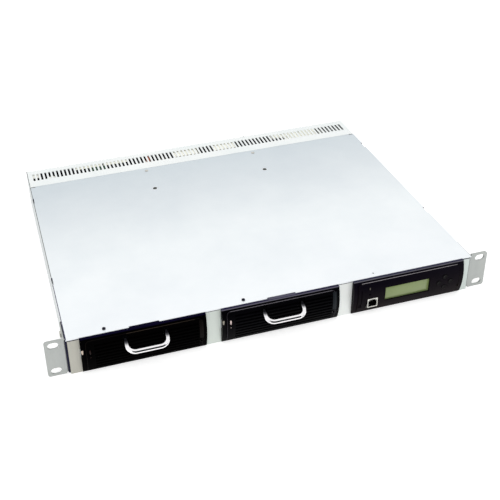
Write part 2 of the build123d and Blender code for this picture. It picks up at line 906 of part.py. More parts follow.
def bezel_shell(centre):
    """Rim, raised panel and hollow back of a bezel."""
    half = bezel_width / 2
    shell = along_x(bowed(0), (centre - half, centre + half))
    panel = along_x(bowed(-panel_proud), (centre - half + panel_inset, centre + half - panel_inset))
    high = bezel_top - panel_drop
    outline = Pos(centre, (bezel_toe + high) / 2) * Rectangle(bezel_width - 2 * panel_inset, high - bezel_toe)
    outline = fillet(outline.vertices().group_by(Axis.Y)[-1], panel_corner)
    prism = along_y(outline, (bezel_rear - 2 * bezel_belly, bezel_rear))
    shell = shell + (panel & prism)
    hollow = along_x(hollow_profile(), (centre - half + bezel_wall, centre + half - bezel_wall))
    return shell - hollow


def hollow_profile():
    """The room behind a bezel's face, open at the back."""
    back = bezel_rear + cut_over
    top = bezel_top - bezel_wall
    low = bezel_bottom + bezel_wall
    lip = bezel_rear - bezel_lip + bezel_wall
    belly = bezel_rear - bezel_belly + bezel_wall
    chin = bezel_rear - bezel_wall / 4
    face = ThreePointArc((lip, top), (belly, low + (top - low) * belly_height_share), (chin, low))
    return make_face([Line((back, low), (back, top)), Line((back, top), (lip, top)), face,
                      Line((chin, low), (back, low))])


def through_face():
    """From in front of a bezel's face to its back."""
    return (bezel_rear - 2 * bezel_belly, bezel_rear + cut_over)


def make_module_bezel(centre):
    """Louvred bezel with its top tab, handle slots, pivot lugs, lamp holes and side windows."""
    bezel = bezel_shell(centre)
    grip = centre + grip_shift
    tab_front = bezel_rear - bezel_lip + bezel_edge
    tab = block(around(grip, tab_width), (tab_front, bezel_rear + tab_setback),
                (cover_under + touch_gap, half_height))
    neck = block(around(grip, tab_width), (tab_front, bezel_rear), (bezel_top - bezel_wall, half_height))
    bezel = bezel + tab + neck
    for side in (-1, 1):
        for inner in (-1, 1):
            bezel = bezel + pivot_lug(grip + side * bail_span / 2, inner)
        bezel = bezel - pivot_bore(grip + side * bail_span / 2)
    half = bezel_width / 2
    cuts = [block((centre - half + rib_left_margin, centre + half - rib_right_margin), through_face(),
                  around(rib_first - index * rib_pitch, rib_slot)) for index in range(rib_count)]
    for side in (-1, 1):
        x = around(grip + side * bail_span / 2, hub_long + 2 * running_gap)
        cuts.append(block(x, through_face(), leg_slot_heights()))
        wall = (centre + side * (half + cut_over), centre + side * (half - bezel_wall - cut_over))
        cuts.append(block(sorted(wall), (bezel_rear - side_window_depth - snap_gap, bezel_rear + cut_over),
                          around(side_window_middle, side_window_height)))
    lens, spot = lamp_outlines(centre, pin_gap)
    cuts.append(along_y(lens, through_face()))
    cuts.append(along_y(spot, through_face()))
    cuts.append(along_y(disc((centre + half - end_hole_margin, end_hole_height), end_hole), through_face()))
    return bezel - cuts


def lamp_outlines(centre, spare):
    """Outlines of the long lamp and the small round one, wider by some spare."""
    x = centre - bezel_width / 2 + lamp_margin
    lens = obround((x, lamp_height), lamp_long + spare, lamp_wide + spare, 90)
    return lens, disc((x, lamp_height - spot_drop), spot_diameter + spare)


def leg_slot_heights():
    """Low and high ends of the slots that the handle's legs swing in."""
    reach = pivot_y - (bezel_rear - bezel_belly - panel_proud)
    low = pivot_height - reach * tan(radians(bail_rest)) - wire / 2 / cos(radians(bail_rest)) - running_gap
    up = bail_swing - bail_rest
    high = pivot_height + reach * tan(radians(up)) + wire / 2 / cos(radians(up)) + running_gap
    return (low, high)


def pivot_lug(leg_x, inner):
    """One small plate beside a leg, with a hole for the pivot pin."""
    near = leg_x + inner * (hub_long / 2 + touch_gap)
    far = near + inner * lug_sheet
    y = (bezel_rear - bezel_lip, bezel_rear + hub_diameter / 2 - touch_gap)
    return block(sorted((near, far)), y, around(pivot_height, hub_diameter + lug_sheet))


def pivot_bore(leg_x):
    """The room for one leg's two pins, through its lugs and into the back of the face."""
    return along_x(disc((pivot_y, pivot_height), pin_diameter + 2 * pin_gap),
                   around(leg_x, hub_long + 2 * pin_length + 2 * touch_gap))


def make_handle(centre):
    """Chrome bail of bent wire with a hub and pins at each leg's end."""
    half = bail_span / 2
    path = FilletPolyline((-half, 0, 0), (-half, -bail_reach, 0), (half, -bail_reach, 0), (half, 0, 0),
                          radius=bail_corner)
    start = Plane(origin=(-half, 0, 0), x_dir=(1, 0, 0), z_dir=(0, -1, 0))
    bail = sweep(start * Circle(wire / 2), path=path)
    for side in (-1, 1):
        hub = Pos(side * half, 0, 0) * Rot(0, 90, 0) * Cylinder(hub_diameter / 2, hub_long)
        pin = Pos(side * half, 0, 0) * Rot(0, 90, 0) * Cylinder(pin_diameter / 2, hub_long + 2 * pin_length)
        bail = bail + hub + pin
    return Pos(centre + grip_shift, pivot_y, pivot_height) * Rot(bail_rest, 0, 0) * bail


def make_lamps(centre):
    """The long lamp lens and the small round one below it."""
    y = (bezel_rear - bezel_belly, bezel_rear)
    return hull_of([along_y(outline, y) for outline in lamp_outlines(centre, 0)])


def fan_centre(centre):
    """Middle of the fan in X and Z."""
    return (centre - fan_side, case_bottom + case_sheet + fan_size / 2)


def fan_depths():
    """Front and back of the fan."""
    return (case_front + case_sheet, case_front + case_sheet + fan_depth)


def make_fan_frame(centre):
    """Square fan housing with a round duct and a rear spider that holds the axle."""
    middle = fan_centre(centre)
    y = fan_depths()
    square = Pos(middle[0], middle[1]) * Rectangle(fan_size, fan_size)
    square = fillet(square.vertices(), ear_corner)
    ring = along_y(square - disc(middle, fan_bore), y)
    spider_y = (y[1] - fan_spider, y[1])
    spider = along_y(disc(middle, fan_hub), spider_y)
    for turn in (0, 90):
        arm = Pos(middle[0], middle[1]) * Rot(0, 0, turn) * Rectangle(fan_bore + cover_sheet, spider_width)
        spider = spider + along_y(arm, spider_y)
    axle = along_y(disc(middle, axle_diameter), (y[0] + fan_depth / 2, y[1]))
    return ring + spider + axle


def make_fan_rotor(centre):
    """Fan hub with pitched blades, turning on the axle."""
    middle = fan_centre(centre)
    y = fan_depths()
    hub_y = (y[0] + cover_sheet, y[1] - fan_spider - blade_gap)
    hub = along_y(disc(middle, fan_hub), hub_y)
    bore = along_y(disc(middle, axle_diameter + 2 * pin_gap), (y[0] + fan_depth / 2 - blade_gap, y[1]))
    rotor = Part() + hub
    length = fan_bore / 2
    chord = (hub_y[1] - hub_y[0]) / 2
    for index in range(blade_count):
        blade = Pos(length / 2, 0, 0) * Rot(blade_pitch, 0, 0) * Box(length, blade_sheet, chord)
        turned = Rot(0, 0, index * 360 / blade_count) * blade
        middle_y = (hub_y[0] + hub_y[1]) / 2
        seat = Plane(origin=(middle[0], middle_y, middle[1]), x_dir=(1, 0, 0), z_dir=(0, -1, 0))
        rotor = rotor + seat * turned
    sweep_room = along_y(disc(middle, fan_bore - 2 * blade_gap), hub_y)
    return (rotor & sweep_room) - bore


def make_heat_sink(centre):
    """Extruded heat sink with upright fins along the module."""
    x = around(centre + case_width / 4, sink_width)
    y = around((case_front + board_setback() + case_rear) / 2, sink_length)
    sink = block(x, y, (board_top, board_top + sink_base))
    pitch = (sink_width - fin_sheet) / (fin_count - 1)
    for index in range(fin_count):
        left = x[0] + index * pitch
        sink = sink + block((left, left + fin_sheet), y, (board_top + sink_base / 2, board_top + sink_high))
    return sink


def make_transformer(centre):
    """Ferrite core with its taped winding bulging on both sides."""
    x = centre - core_side
    core = block(around(x, core_width), around(core_place, core_length), (board_top, board_top + core_high))
    winding = block(around(x, winding_width), around(core_place, core_length + 2 * winding_over),
                    (board_top + winding_over / 2, board_top + core_high - winding_over / 2))
    winding = fillet(winding.edges().filter_by(Axis.Z), winding_over / 2)
    return core + winding


def make_capacitors(centre):
    """Three upright capacitors."""
    cans = []
    for index in range(capacitor_count):
        place = (centre - core_side, case_rear - capacitor_setback + index * capacitor_pitch)
        can = along_z(disc(place, capacitor_diameter), (board_top, board_top + capacitor_high))
        cans.append(fillet(can.edges().group_by(Axis.Z)[-1], cover_sheet))
    return hull_of(cans)


# Controller

def make_controller_bezel(centre):
    """Bezel with a display window, port, buttons, lamp hole and moulded latch outline."""
    bezel = bezel_shell(centre)
    pad = Rectangle(display_width + 2 * display_rim, display_high + 2 * display_rim)
    pad = Pos(centre + display_side, display_height) * pad
    cuts = [along_y(pad, (display_face() - cover_sheet / 2, display_face())),
            block(around(centre + display_side, display_width), through_face(),
                  around(display_height, display_high)),
            block(around(usb_place(centre), usb_width + 2 * pin_gap), through_face(),
                  around(usb_height, usb_high + 2 * pin_gap))]
    status_x = centre - bezel_width / 2 + status_margin
    lens = obround((status_x, status_height), status_long + pin_gap, status_wide + pin_gap, 90)
    cuts.append(along_y(lens, through_face()))
    holes = [((status_x, status_height - reset_drop), reset_hole),
             ((centre + bezel_width / 2 - end_hole_margin, end_hole_height), small_end_hole)]
    holes = holes + [(place, button_diameter + 2 * touch_gap) for place in button_places(centre)]
    cuts = cuts + [along_y(disc(place, diameter), through_face()) for place, diameter in holes]
    return bezel - cuts - latch_grooves(centre)


def latch_grooves(centre):
    """A shallow groove beside a moulded latch and the sunk foot below it."""
    front = bezel_rear - bezel_belly
    left = centre - bezel_width / 2 + latch_margin
    right = left + latch_width
    upright = block((right - groove, right), (front - 2 * panel_proud, front + groove),
                    (latch_bottom, latch_top))
    foot = block((left, right), (front - 2 * panel_proud, front + latch_foot_depth),
                 (latch_foot_bottom, latch_foot_top))
    return [upright, foot]


def usb_place(centre):
    """Middle of the port in X."""
    return centre - bezel_width / 2 + usb_margin


def display_face():
    """Where the front of the display glass sits."""
    return bezel_rear - bezel_belly + bezel_wall + display_setback


def button_places(centre):
    """Middles of the up, left, right and down buttons."""
    x = centre + bezel_width / 2 - button_margin
    z = button_height
    return [(x, z + button_pitch), (x - button_pitch, z), (x + button_pitch, z), (x, z - button_pitch)]


def make_display(centre):
    """Display glass held on a backing that reaches the front board."""
    glass = block(around(centre + display_side, display_width - touch_gap),
                  (bezel_rear - bezel_belly + display_setback, display_face() + display_sheet),
                  around(display_height, display_high - touch_gap))
    back = block(around(centre + display_side, display_width + 2 * display_rim),
                 (display_face(), front_board_face()),
                 around(display_height, display_high + display_rim))
    return glass + back


def front_board_face():
    """Front of the upright board behind the controller's face."""
    return bezel_rear + front_board_setback


def make_front_board(centre):
    """Upright board that carries the display, port and button switches."""
    y = (front_board_face(), front_board_face() + board_sheet)
    low = case_bottom + case_sheet + touch_gap
    board = block(around(centre, case_width - 2 * front_board_margin), y, (low, low + front_board_high))
    for x, z in button_places(centre):
        stem = block(around(x, button_diameter / 2), (button_back() + button_travel + touch_gap, y[0]),
                     around(z, button_diameter / 2))
        board = board + stem
    port_room = block(around(usb_place(centre), usb_width + 2 * pin_gap), (y[0] - cut_over, y[1] + cut_over),
                      around(usb_height, usb_high + 2 * pin_gap))
    return board - port_room


def face_at(z):
    """How far forward the raised panel stands at a height, on the bow's circle."""
    toe = bezel_toe
    top = bezel_top - bezel_edge
    middle = toe + (top - toe) * belly_height_share
    y1, y2, y3 = (bezel_rear - bezel_lip, bezel_rear - bezel_belly, bezel_rear - bezel_chin)
    first = y1 * (z - middle) * (z - toe) / ((top - middle) * (top - toe))
    second = y2 * (z - top) * (z - toe) / ((middle - top) * (middle - toe))
    third = y3 * (z - top) * (z - middle) / ((toe - top) * (toe - middle))
    return first + second + third - panel_proud


def button_back():
    """Rear of a button's flange."""
    return bezel_rear - bezel_belly + bezel_wall + touch_gap + button_flange_sheet * 2


def make_button(place):
    """A round cap with a flange behind the bezel that keeps it in."""
    x, z = place
    front = face_at(z) - button_proud
    cap = along_y(disc(place, button_diameter), (front, button_back()))
    cap = fillet(cap.edges().group_by(Axis.Y)[0], button_round)
    flange = along_y(disc((x, z), button_flange), (button_back() - button_flange_sheet, button_back()))
    return cap + flange


def make_usb(centre):
    """Square port: a metal frame around a deep socket with a short tongue inside."""
    x = usb_place(centre)
    front = bezel_rear - bezel_belly - panel_proud
    shell = block(around(x, usb_width), (front, front + usb_depth), around(usb_height, usb_high))
    mouth = Rectangle(usb_cavity_width, usb_cavity_high)
    mouth = chamfer(mouth.vertices().group_by(Axis.Y)[-1], usb_corner)
    shell = shell - along_y(Pos(x, usb_height) * mouth, (front - cut_over, front + usb_cavity_depth))
    tongue = block(around(x, usb_tongue_width), (front + usb_tongue_setback, front + usb_depth - cover_sheet),
                   around(usb_height, usb_tongue_high))
    return shell + tongue


def make_status_lamp(centre):
    """The small upright lamp beside the display."""
    place = (centre - bezel_width / 2 + status_margin, status_height)
    return along_y(obround(place, status_long, status_wide, 90), (face_at(status_height), bezel_rear))


# Writing the pieces

def write_shelf():
    """The fixed pieces."""
    keep(make_tray(), "chassis_tray")
    keep(make_cover(), "top_cover")
    keep(make_hood(), "rear_hood")
    keep(make_front_frame(), "front_frame")
    keep(make_ear(-1), "ear_left")
    keep(make_ear(1), "ear_right")
    keep(make_ear_screws(), "ear_screws")
    keep(make_divider(0), "divider_left")
    keep(make_divider(1), "divider_right")
    guide_outer = wall_inside - cover_sheet - 2 * touch_gap
    keep(make_channel((-guide_outer, guide_edges(0)[0])), "side_guide_left")
    keep(make_channel((guide_edges(2)[1], guide_outer)), "side_guide_right")
    keep(make_cover_screws(), "cover_screws")
    keep(make_divider_screws(), "divider_screws")
    keep(make_rivets(), "hood_rivets")
    keep(make_rear_board(), "rear_board")
    keep(make_sockets(), "bay_sockets")
    keep(make_bar(0, stud_places()[1]), "busbar_positive")
    keep(make_bar(1, stud_places()[0]), "busbar_negative")
    keep(make_output_block(), "output_block")
    keep(make_terminal_hardware(), "terminal_hardware")
    for index, x in enumerate(inlet_places()):
        keep(make_inlet(x), "mains_inlet_" + str(index + 1))
    keep(make_inlet_pins(), "inlet_pins")
    keep(make_port(), "signal_port")
    keep(make_headers(), "board_headers")
    keep(make_relays(), "power_relays")


def write_module(centre, name):
    """One rectifier module."""
    keep(make_case(centre, True), name + "_case")
    keep(make_lid(centre), name + "_lid")
    keep(make_module_bezel(centre), name + "_bezel")
    keep(make_handle(centre), name + "_handle")
    keep(make_lamps(centre), name + "_lamps")
    keep(make_fan_frame(centre), name + "_fan_frame")
    keep(make_fan_rotor(centre), name + "_fan_rotor")
    keep(make_board(centre), name + "_board")
    keep(make_heat_sink(centre), name + "_heat_sink")
    keep(make_transformer(centre), name + "_transformer")
    keep(make_capacitors(centre), name + "_capacitors")


def write_controller(centre):
    """The controller unit in the right bay."""
    keep(make_case(centre, False), "controller_case")
    keep(make_lid(centre), "controller_lid")
    keep(make_controller_bezel(centre), "controller_bezel")
    keep(make_display(centre), "controller_display")
    keep(make_front_board(centre), "controller_front_board")
    keep(make_board(centre), "controller_board")
    keep(make_usb(centre), "usb_port")
    keep(make_status_lamp(centre), "status_lamp")
    for name, place in zip(("up", "left", "right", "down"), button_places(centre)):
        keep(make_button(place), "button_" + name)


os.makedirs("parts", exist_ok=True)
write_shelf()
write_module(bay_centres[0], "rectifier_1")
write_module(bay_centres[1], "rectifier_2")
write_controller(bay_centres[2])
print("pieces written:", node_count)
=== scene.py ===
import bmesh
import bpy
import numpy as np
from mathutils import Matrix, Vector


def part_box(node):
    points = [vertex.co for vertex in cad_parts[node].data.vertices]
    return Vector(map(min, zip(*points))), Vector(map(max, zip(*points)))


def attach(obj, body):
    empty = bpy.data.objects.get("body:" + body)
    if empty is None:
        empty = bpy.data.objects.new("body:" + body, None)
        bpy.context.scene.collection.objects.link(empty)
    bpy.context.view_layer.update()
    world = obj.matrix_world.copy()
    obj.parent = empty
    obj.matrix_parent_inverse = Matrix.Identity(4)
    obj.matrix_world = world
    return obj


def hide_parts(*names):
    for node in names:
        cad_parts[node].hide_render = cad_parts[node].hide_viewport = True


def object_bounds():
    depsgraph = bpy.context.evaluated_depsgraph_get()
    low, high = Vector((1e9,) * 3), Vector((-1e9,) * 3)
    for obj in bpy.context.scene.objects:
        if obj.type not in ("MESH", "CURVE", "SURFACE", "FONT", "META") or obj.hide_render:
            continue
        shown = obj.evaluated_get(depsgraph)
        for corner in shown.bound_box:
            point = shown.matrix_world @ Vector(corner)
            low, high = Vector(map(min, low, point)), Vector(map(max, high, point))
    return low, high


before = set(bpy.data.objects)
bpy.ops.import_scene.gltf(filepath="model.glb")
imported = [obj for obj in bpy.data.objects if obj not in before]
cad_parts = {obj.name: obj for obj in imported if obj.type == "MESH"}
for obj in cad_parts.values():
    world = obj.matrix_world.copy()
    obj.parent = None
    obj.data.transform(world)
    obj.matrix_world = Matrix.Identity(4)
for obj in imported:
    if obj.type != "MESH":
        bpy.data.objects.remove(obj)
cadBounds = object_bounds()
mm = 0.001                    # in metres

# Camera, fitted to the corners of the shelf in the photograph
cameraSet = {
    "azimuth": -14.7654,      # degrees, 0 looks along +Y
    "elevation": 30.3734,     # degrees
    "roll": -0.0391,          # radians
    "distance": 1.15255,      # metres
    "target": (-0.00284, 0.28418, 0.0),     # metres
    "lens": 63.40,
    "sensor": 36.0,
    "shift": (0.10, -0.14),   # shares of the frame
    "clip": (0.02, 30.0),     # metres
}


def placeCamera(spec):
    # place = target + distance times the direction at the azimuth and elevation, then a roll about its own axis
    a, e = np.radians(spec["azimuth"]), np.radians(spec["elevation"])
    back = Vector((np.sin(a) * np.cos(e), -np.cos(a) * np.cos(e), np.sin(e)))
    right = (-back).cross(Vector((0, 0, 1))).normalized()
    up = right.cross(-back)
    c, s = np.cos(spec["roll"]), np.sin(spec["roll"])
    columns = (c * right + s * up, -s * right + c * up, back)
    data = bpy.data.cameras.new("camera")
    data.lens = spec["lens"]
    data.sensor_width = spec["sensor"]
    data.shift_x, data.shift_y = spec["shift"]
    data.clip_start, data.clip_end = spec["clip"]
    camera = bpy.data.objects.new("camera", data)
    bpy.context.scene.collection.objects.link(camera)
    turn = Matrix([[columns[j][i] for j in range(3)] for i in range(3)]).to_4x4()
    camera.matrix_world = Matrix.Translation(Vector(spec["target"]) + back * spec["distance"]) @ turn
    bpy.context.scene.camera = camera


placeCamera(cameraSet)
print("camera placed")

# Studio, in metres
studioSet = {
    "floorSize": 6.0,
    "floorGap": 0.00002,      # between the shelf's lowest point and the floor
    "floorColor": 0.62,
    "floorGlow": 0.60,        # what the camera and reflections see on top of the lit floor
    "skyLight": 0.70,
    "reflectedSky": 0.95,     # what shiny pieces see above
    "lamps": (                # name, place, aim, size, power
        ("topLamp", (-0.1, -0.25, 1.6), (0.0, 0.0, 0.0), 1.5, 8.5),
        ("frontLamp", (-0.4, -1.5, 0.8), (0.0, 0.0, 0.0), 1.2, 8.0),
        ("rearLamp", (0.9, 1.6, 0.9), (0.0, 0.2, 0.0), 1.0, 1.5),
    ),
    "cards": (                # name, low corner, high corner, grey: cards that only reflections see
        ("frontCard", (-0.90, -1.6, -0.01), (1.0, -1.6, 1.85), 0.02),
        ("lowCard", (-0.20, -1.6, -0.0150), (0.20, -0.056, -0.0150), 0.02),
    ),
}


def seenBy(nodes, links, rays):
    # 1 where any of the named kinds of ray looks, else 0
    path = nodes.new("ShaderNodeLightPath")
    total = path.outputs[rays[0]]
    for ray in rays[1:]:
        most = nodes.new("ShaderNodeMath")
        most.operation = "MAXIMUM"
        links.new(total, most.inputs[0])
        links.new(path.outputs[ray], most.inputs[1])
        total = most.outputs[0]
    return total


def rectangle(name, corners):
    # one four-cornered face on the stage
    mesh = bpy.data.meshes.new(name)
    mesh.from_pydata(corners, [], [(0, 1, 2, 3)])
    piece = bpy.data.objects.new(name, mesh)
    bpy.context.scene.collection.objects.link(piece)
    return piece


def makeWorld(spec, rays):
    # white for the camera, a little less for reflections, softer where it only lights
    world = bpy.data.worlds.new("studioWorld")
    bpy.context.scene.world = world
    world.use_nodes = True
    nodes, links = world.node_tree.nodes, world.node_tree.links
    nodes.clear()
    shader = None
    for strength, seers in ((spec["skyLight"], ()), (spec["reflectedSky"], rays[1:]), (1.0, rays[:1])):
        sky = nodes.new("ShaderNodeBackground")
        sky.inputs["Color"].default_value = (1, 1, 1, 1)
        sky.inputs["Strength"].default_value = strength
        if not seers:
            shader = sky.outputs[0]
            continue
        mix = nodes.new("ShaderNodeMixShader")
        links.new(seenBy(nodes, links, seers), mix.inputs[0])
        links.new(shader, mix.inputs[1])
        links.new(sky.outputs[0], mix.inputs[2])
        shader = mix.outputs[0]
    links.new(shader, nodes.new("ShaderNodeOutputWorld").inputs[0])


def makeFloor(spec, rays):
    # a matt floor that keeps the shadow, plus a plain glow that only the camera and reflections see
    half, z = spec["floorSize"] / 2, cadBounds[0][2] - spec["floorGap"]
    floor = rectangle("floor", [(-half, -half, z), (half, -half, z), (half, half, z), (-half, half, z)])
    paper = bpy.data.materials.new("floorPaper")
    paper.use_nodes = True
    nodes, links = paper.node_tree.nodes, paper.node_tree.links
    nodes.clear()
    matt = nodes.new("ShaderNodeBsdfDiffuse")
    matt.inputs["Color"].default_value = (spec["floorColor"],) * 3 + (1,)
    glow = nodes.new("ShaderNodeEmission")
    share = nodes.new("ShaderNodeMath")
    share.operation = "MULTIPLY"
    share.inputs[1].default_value = spec["floorGlow"]
    links.new(seenBy(nodes, links, rays), share.inputs[0])
    links.new(share.outputs[0], glow.inputs["Strength"])
    add = nodes.new("ShaderNodeAddShader")
    out = nodes.new("ShaderNodeOutputMaterial")
    links.new(matt.outputs[0], add.inputs[0])
    links.new(glow.outputs[0], add.inputs[1])
    links.new(add.outputs[0], out.inputs[0])
    floor.data.materials.append(paper)


def makeCards(spec):
    # cards that only glossy rays meet, so shiny pieces show a dark line and light stays even
    for name, low, high, grey in spec["cards"]:
        paint = bpy.data.materials.new(name + "Paint")
        paint.use_nodes = True
        shader = paint.node_tree.nodes["Principled BSDF"]
        shader.inputs["Base Color"].default_value = (grey,) * 3 + (1,)
        shader.inputs["Specular IOR Level"].default_value = 0.0
        corners = [low, (high[0], low[1], low[2]), high, (low[0], high[1], high[2])]
        card = rectangle(name, corners)
        card.data.materials.append(paint)
        for kind in ("camera", "diffuse", "transmission", "volume_scatter", "shadow"):
            setattr(card, "visible_" + kind, False)


def makeLamps(spec):
    # square lamps aimed at a place; reflections don't see them, so the sheets have no hot spots
    for name, place, aim, wide, power in spec["lamps"]:
        lamp = bpy.data.lights.new(name, "AREA")
        lamp.energy, lamp.size = power, wide
        holder = bpy.data.objects.new(name, lamp)
        holder.location = place
        holder.rotation_euler = (Vector(aim) - Vector(place)).to_track_quat("-Z", "Y").to_euler()
        holder.visible_glossy = False
        bpy.context.scene.collection.objects.link(holder)


bpy.context.scene.view_settings.view_transform = "Standard"
seeingRays = ("Is Camera Ray", "Is Glossy Ray", "Is Transmission Ray")
makeWorld(studioSet, seeingRays)
makeFloor(studioSet, seeingRays)
makeCards(studioSet)
makeLamps(studioSet)
print("studio lit")


# Finishes
noiseSet = {
    "fineDetail": 4.0,
    "fineRange": (0.35, 0.65),     # of the noise, spread over the roughness
    "slowDetail": 6.0,
    "slowRough": 0.62,
    "slowRange": (0.3, 0.7),       # of the noise, spread over the two colours
    "bumpStrength": 0.6,
    "coatRough": 0.12,
}


def colorAlong(nodes, links, coords, axis, stops):
    # a colour that runs through stops (place in mm, colour) along one axis of the object
    split = nodes.new("ShaderNodeSeparateXYZ")
    links.new(coords, split.inputs[0])
    span = nodes.new("ShaderNodeMapRange")
    first, last = stops[0][0] * mm, stops[-1][0] * mm
    span.inputs["From Min"].default_value, span.inputs["From Max"].default_value = first, last
    links.new(split.outputs["XYZ".index(axis)], span.inputs["Value"])
    ramp = nodes.new("ShaderNodeValToRGB")
    elements = ramp.color_ramp.elements
    while len(elements) < len(stops):
        elements.new(0.5)
    for element, (place, color) in zip(elements, stops):
        element.position = (place * mm - first) / (last - first)
        element.color = tuple(color) + (1,)
    links.new(span.outputs["Result"], ramp.inputs["Fac"])
    return ramp.outputs["Color"]


def makeFinish(name, second, rough, color=(1, 1, 1), metal=0.0, grain=1500.0, stretch=(1, 1, 1), patch=60.0,
               bump=0.01, coat=0.0, glow=0.0, specular=0.5, along=None, under=None):
    # colour = mix(colour, second, slow noise); with along it is the run of colours, times second where the slow
    # noise is high; under multiplies the result by a run of colours. Roughness and bump follow a fine noise that
    # is stretched along the grain. Grain and patch are how fine the two noises are, bump is a depth in mm.
    finish = bpy.data.materials.new(name)
    finish.use_nodes = True
    nodes, links = finish.node_tree.nodes, finish.node_tree.links
    shader = nodes["Principled BSDF"]
    shader.inputs["Metallic"].default_value = metal
    shader.inputs["Specular IOR Level"].default_value = specular
    shader.inputs["Coat Weight"].default_value = coat
    shader.inputs["Coat Roughness"].default_value = noiseSet["coatRough"]
    coords = nodes.new("ShaderNodeTexCoord").outputs["Object"]
    turn = nodes.new("ShaderNodeMapping")
    turn.inputs["Scale"].default_value = stretch
    links.new(coords, turn.inputs["Vector"])
    fine = nodes.new("ShaderNodeTexNoise")
    fine.inputs["Scale"].default_value = grain
    fine.inputs["Detail"].default_value = noiseSet["fineDetail"]
    links.new(turn.outputs["Vector"], fine.inputs["Vector"])
    slow = nodes.new("ShaderNodeTexNoise")
    slow.inputs["Scale"].default_value = patch
    slow.inputs["Detail"].default_value = noiseSet["slowDetail"]
    slow.inputs["Roughness"].default_value = noiseSet["slowRough"]
    links.new(turn.outputs["Vector"] if along is None else coords, slow.inputs["Vector"])
    mix = nodes.new("ShaderNodeMix")
    mix.data_type = "RGBA"
    mix.inputs["A"].default_value = tuple(color) + (1,)
    mix.inputs["B"].default_value = tuple(second) + (1,)
    if along:
        mix.blend_type = "MULTIPLY"
        links.new(colorAlong(nodes, links, coords, *along), mix.inputs["A"])
    spread = nodes.new("ShaderNodeMapRange")
    spread.inputs["From Min"].default_value, spread.inputs["From Max"].default_value = noiseSet["slowRange"]
    links.new(slow.outputs["Fac"], spread.inputs["Value"])
    links.new(spread.outputs["Result"], mix.inputs["Factor"])
    painted = mix.outputs["Result"]
    if under:
        shade = nodes.new("ShaderNodeMix")
        shade.data_type, shade.blend_type = "RGBA", "MULTIPLY"
        shade.inputs["Factor"].default_value = 1.0
        links.new(painted, shade.inputs["A"])
        links.new(colorAlong(nodes, links, coords, *under), shade.inputs["B"])
        painted = shade.outputs["Result"]
    links.new(painted, shader.inputs["Base Color"])
    gloss = nodes.new("ShaderNodeMapRange")
    gloss.inputs["From Min"].default_value, gloss.inputs["From Max"].default_value = noiseSet["fineRange"]
    gloss.inputs["To Min"].default_value, gloss.inputs["To Max"].default_value = rough
    links.new(fine.outputs["Fac"], gloss.inputs["Value"])
    links.new(gloss.outputs["Result"], shader.inputs["Roughness"])
    if bump:
        press = nodes.new("ShaderNodeBump")
        press.inputs["Distance"].default_value = bump * mm
        press.inputs["Strength"].default_value = noiseSet["bumpStrength"]
        links.new(fine.outputs["Fac"], press.inputs["Height"])
        links.new(press.outputs["Normal"], shader.inputs["Normal"])
    if glow:
        shader.inputs["Emission Color"].default_value = tuple(color) + (1,)
        shader.inputs["Emission Strength"].default_value = glow
    return finish


# Runs of colour along one axis: place in mm, colour
# painted highlight: the up-facing top faces and the tab's top are lighter grey, the front face below them near
# black
bezelTopSheenStops = ((-22, (0.001, 0.0009, 0.0018)), (20.4, (0.001, 0.0009, 0.0018)), (20.6, (0.12, 0.115, 0.15)),
              (21.1, (0.12, 0.115, 0.15)), (21.28, (0.016, 0.013, 0.045)), (21.7, (0.016, 0.013, 0.045)),
              (21.78, (0.11, 0.105, 0.15)), (22, (0.11, 0.105, 0.15)))
# painted highlight on the controller bezel's top faces; its front runs a little lighter towards the bottom
plumTopSheenStops = ((-22, (0.012, 0.007, 0.008)), (-8, (0.008, 0.005, 0.007)), (20.4, (0.003, 0.002, 0.006)),
             (20.6, (0.12, 0.115, 0.13)), (21.1, (0.12, 0.115, 0.13)), (21.28, (0.03, 0.027, 0.06)),
             (22, (0.03, 0.027, 0.06)))
# a faint painted navy sheen on the first bezel's top faces
inkTopSheenStops = ((-22, (0.0006, 0.0004, 0.0005)), (20.5, (0.0006, 0.0004, 0.0005)), (20.8, (0.003, 0.002, 0.014)),
            (22, (0.003, 0.002, 0.014)))
# painted shade: the chrome turns near black towards the legs' roots in the slots
chromeRootShadeStops = ((4, (1.0, 0.99, 1.0)), (9.6, (1.0, 0.99, 1.0)), (11.0, (0.10, 0.10, 0.11)),
               (12.0, (0.008, 0.008, 0.01)), (13, (0.008, 0.008, 0.01)))
# painted shadow of the window's recess along the display's lower edge
displayRecessShadowStops = ((-8.4, (0.45, 0.46, 0.50)), (-7.2, (0.62, 0.64, 0.66)), (-5.4, (1, 1, 1)), (9, (1, 1, 1)))
lampStops = ((-2, (0.24, 0.19, 0.17)), (3, (0.24, 0.18, 0.17)), (6, (0.85, 0.70, 0.66)),
             (9, (0.85, 0.70, 0.66)))
# painted shade: the cover runs darker and bluer towards the rear
coverShadeStops = ((-5, (0.95, 0.98, 1.0)), (120, (0.92, 0.96, 0.975)), (230, (0.76, 0.81, 0.84)),
              (345, (0.62, 0.69, 0.73)))
# painted shade along the cover's left bend: navy at the front, grey behind the first notch
bendStops = ((-5, (0.03, 0.03, 0.08)), (90, (0.03, 0.03, 0.08)), (110, (0.14, 0.16, 0.15)),
             (300, (0.14, 0.16, 0.15)), (343, (0.08, 0.06, 0.08)))
# painted shade: the front frame is darker and warmer at the two end posts, palest in the middle
postShadeStops = ((-221, (0.53, 0.52, 0.46)), (-205, (0.55, 0.54, 0.48)), (-80, (0.76, 0.82, 0.77)),
             (-60, (0.76, 0.82, 0.77)), (64, (0.97, 1.0, 0.98)), (82, (0.97, 1.0, 0.98)),
             (209, (0.70, 0.77, 0.74)), (221, (0.68, 0.75, 0.72)))
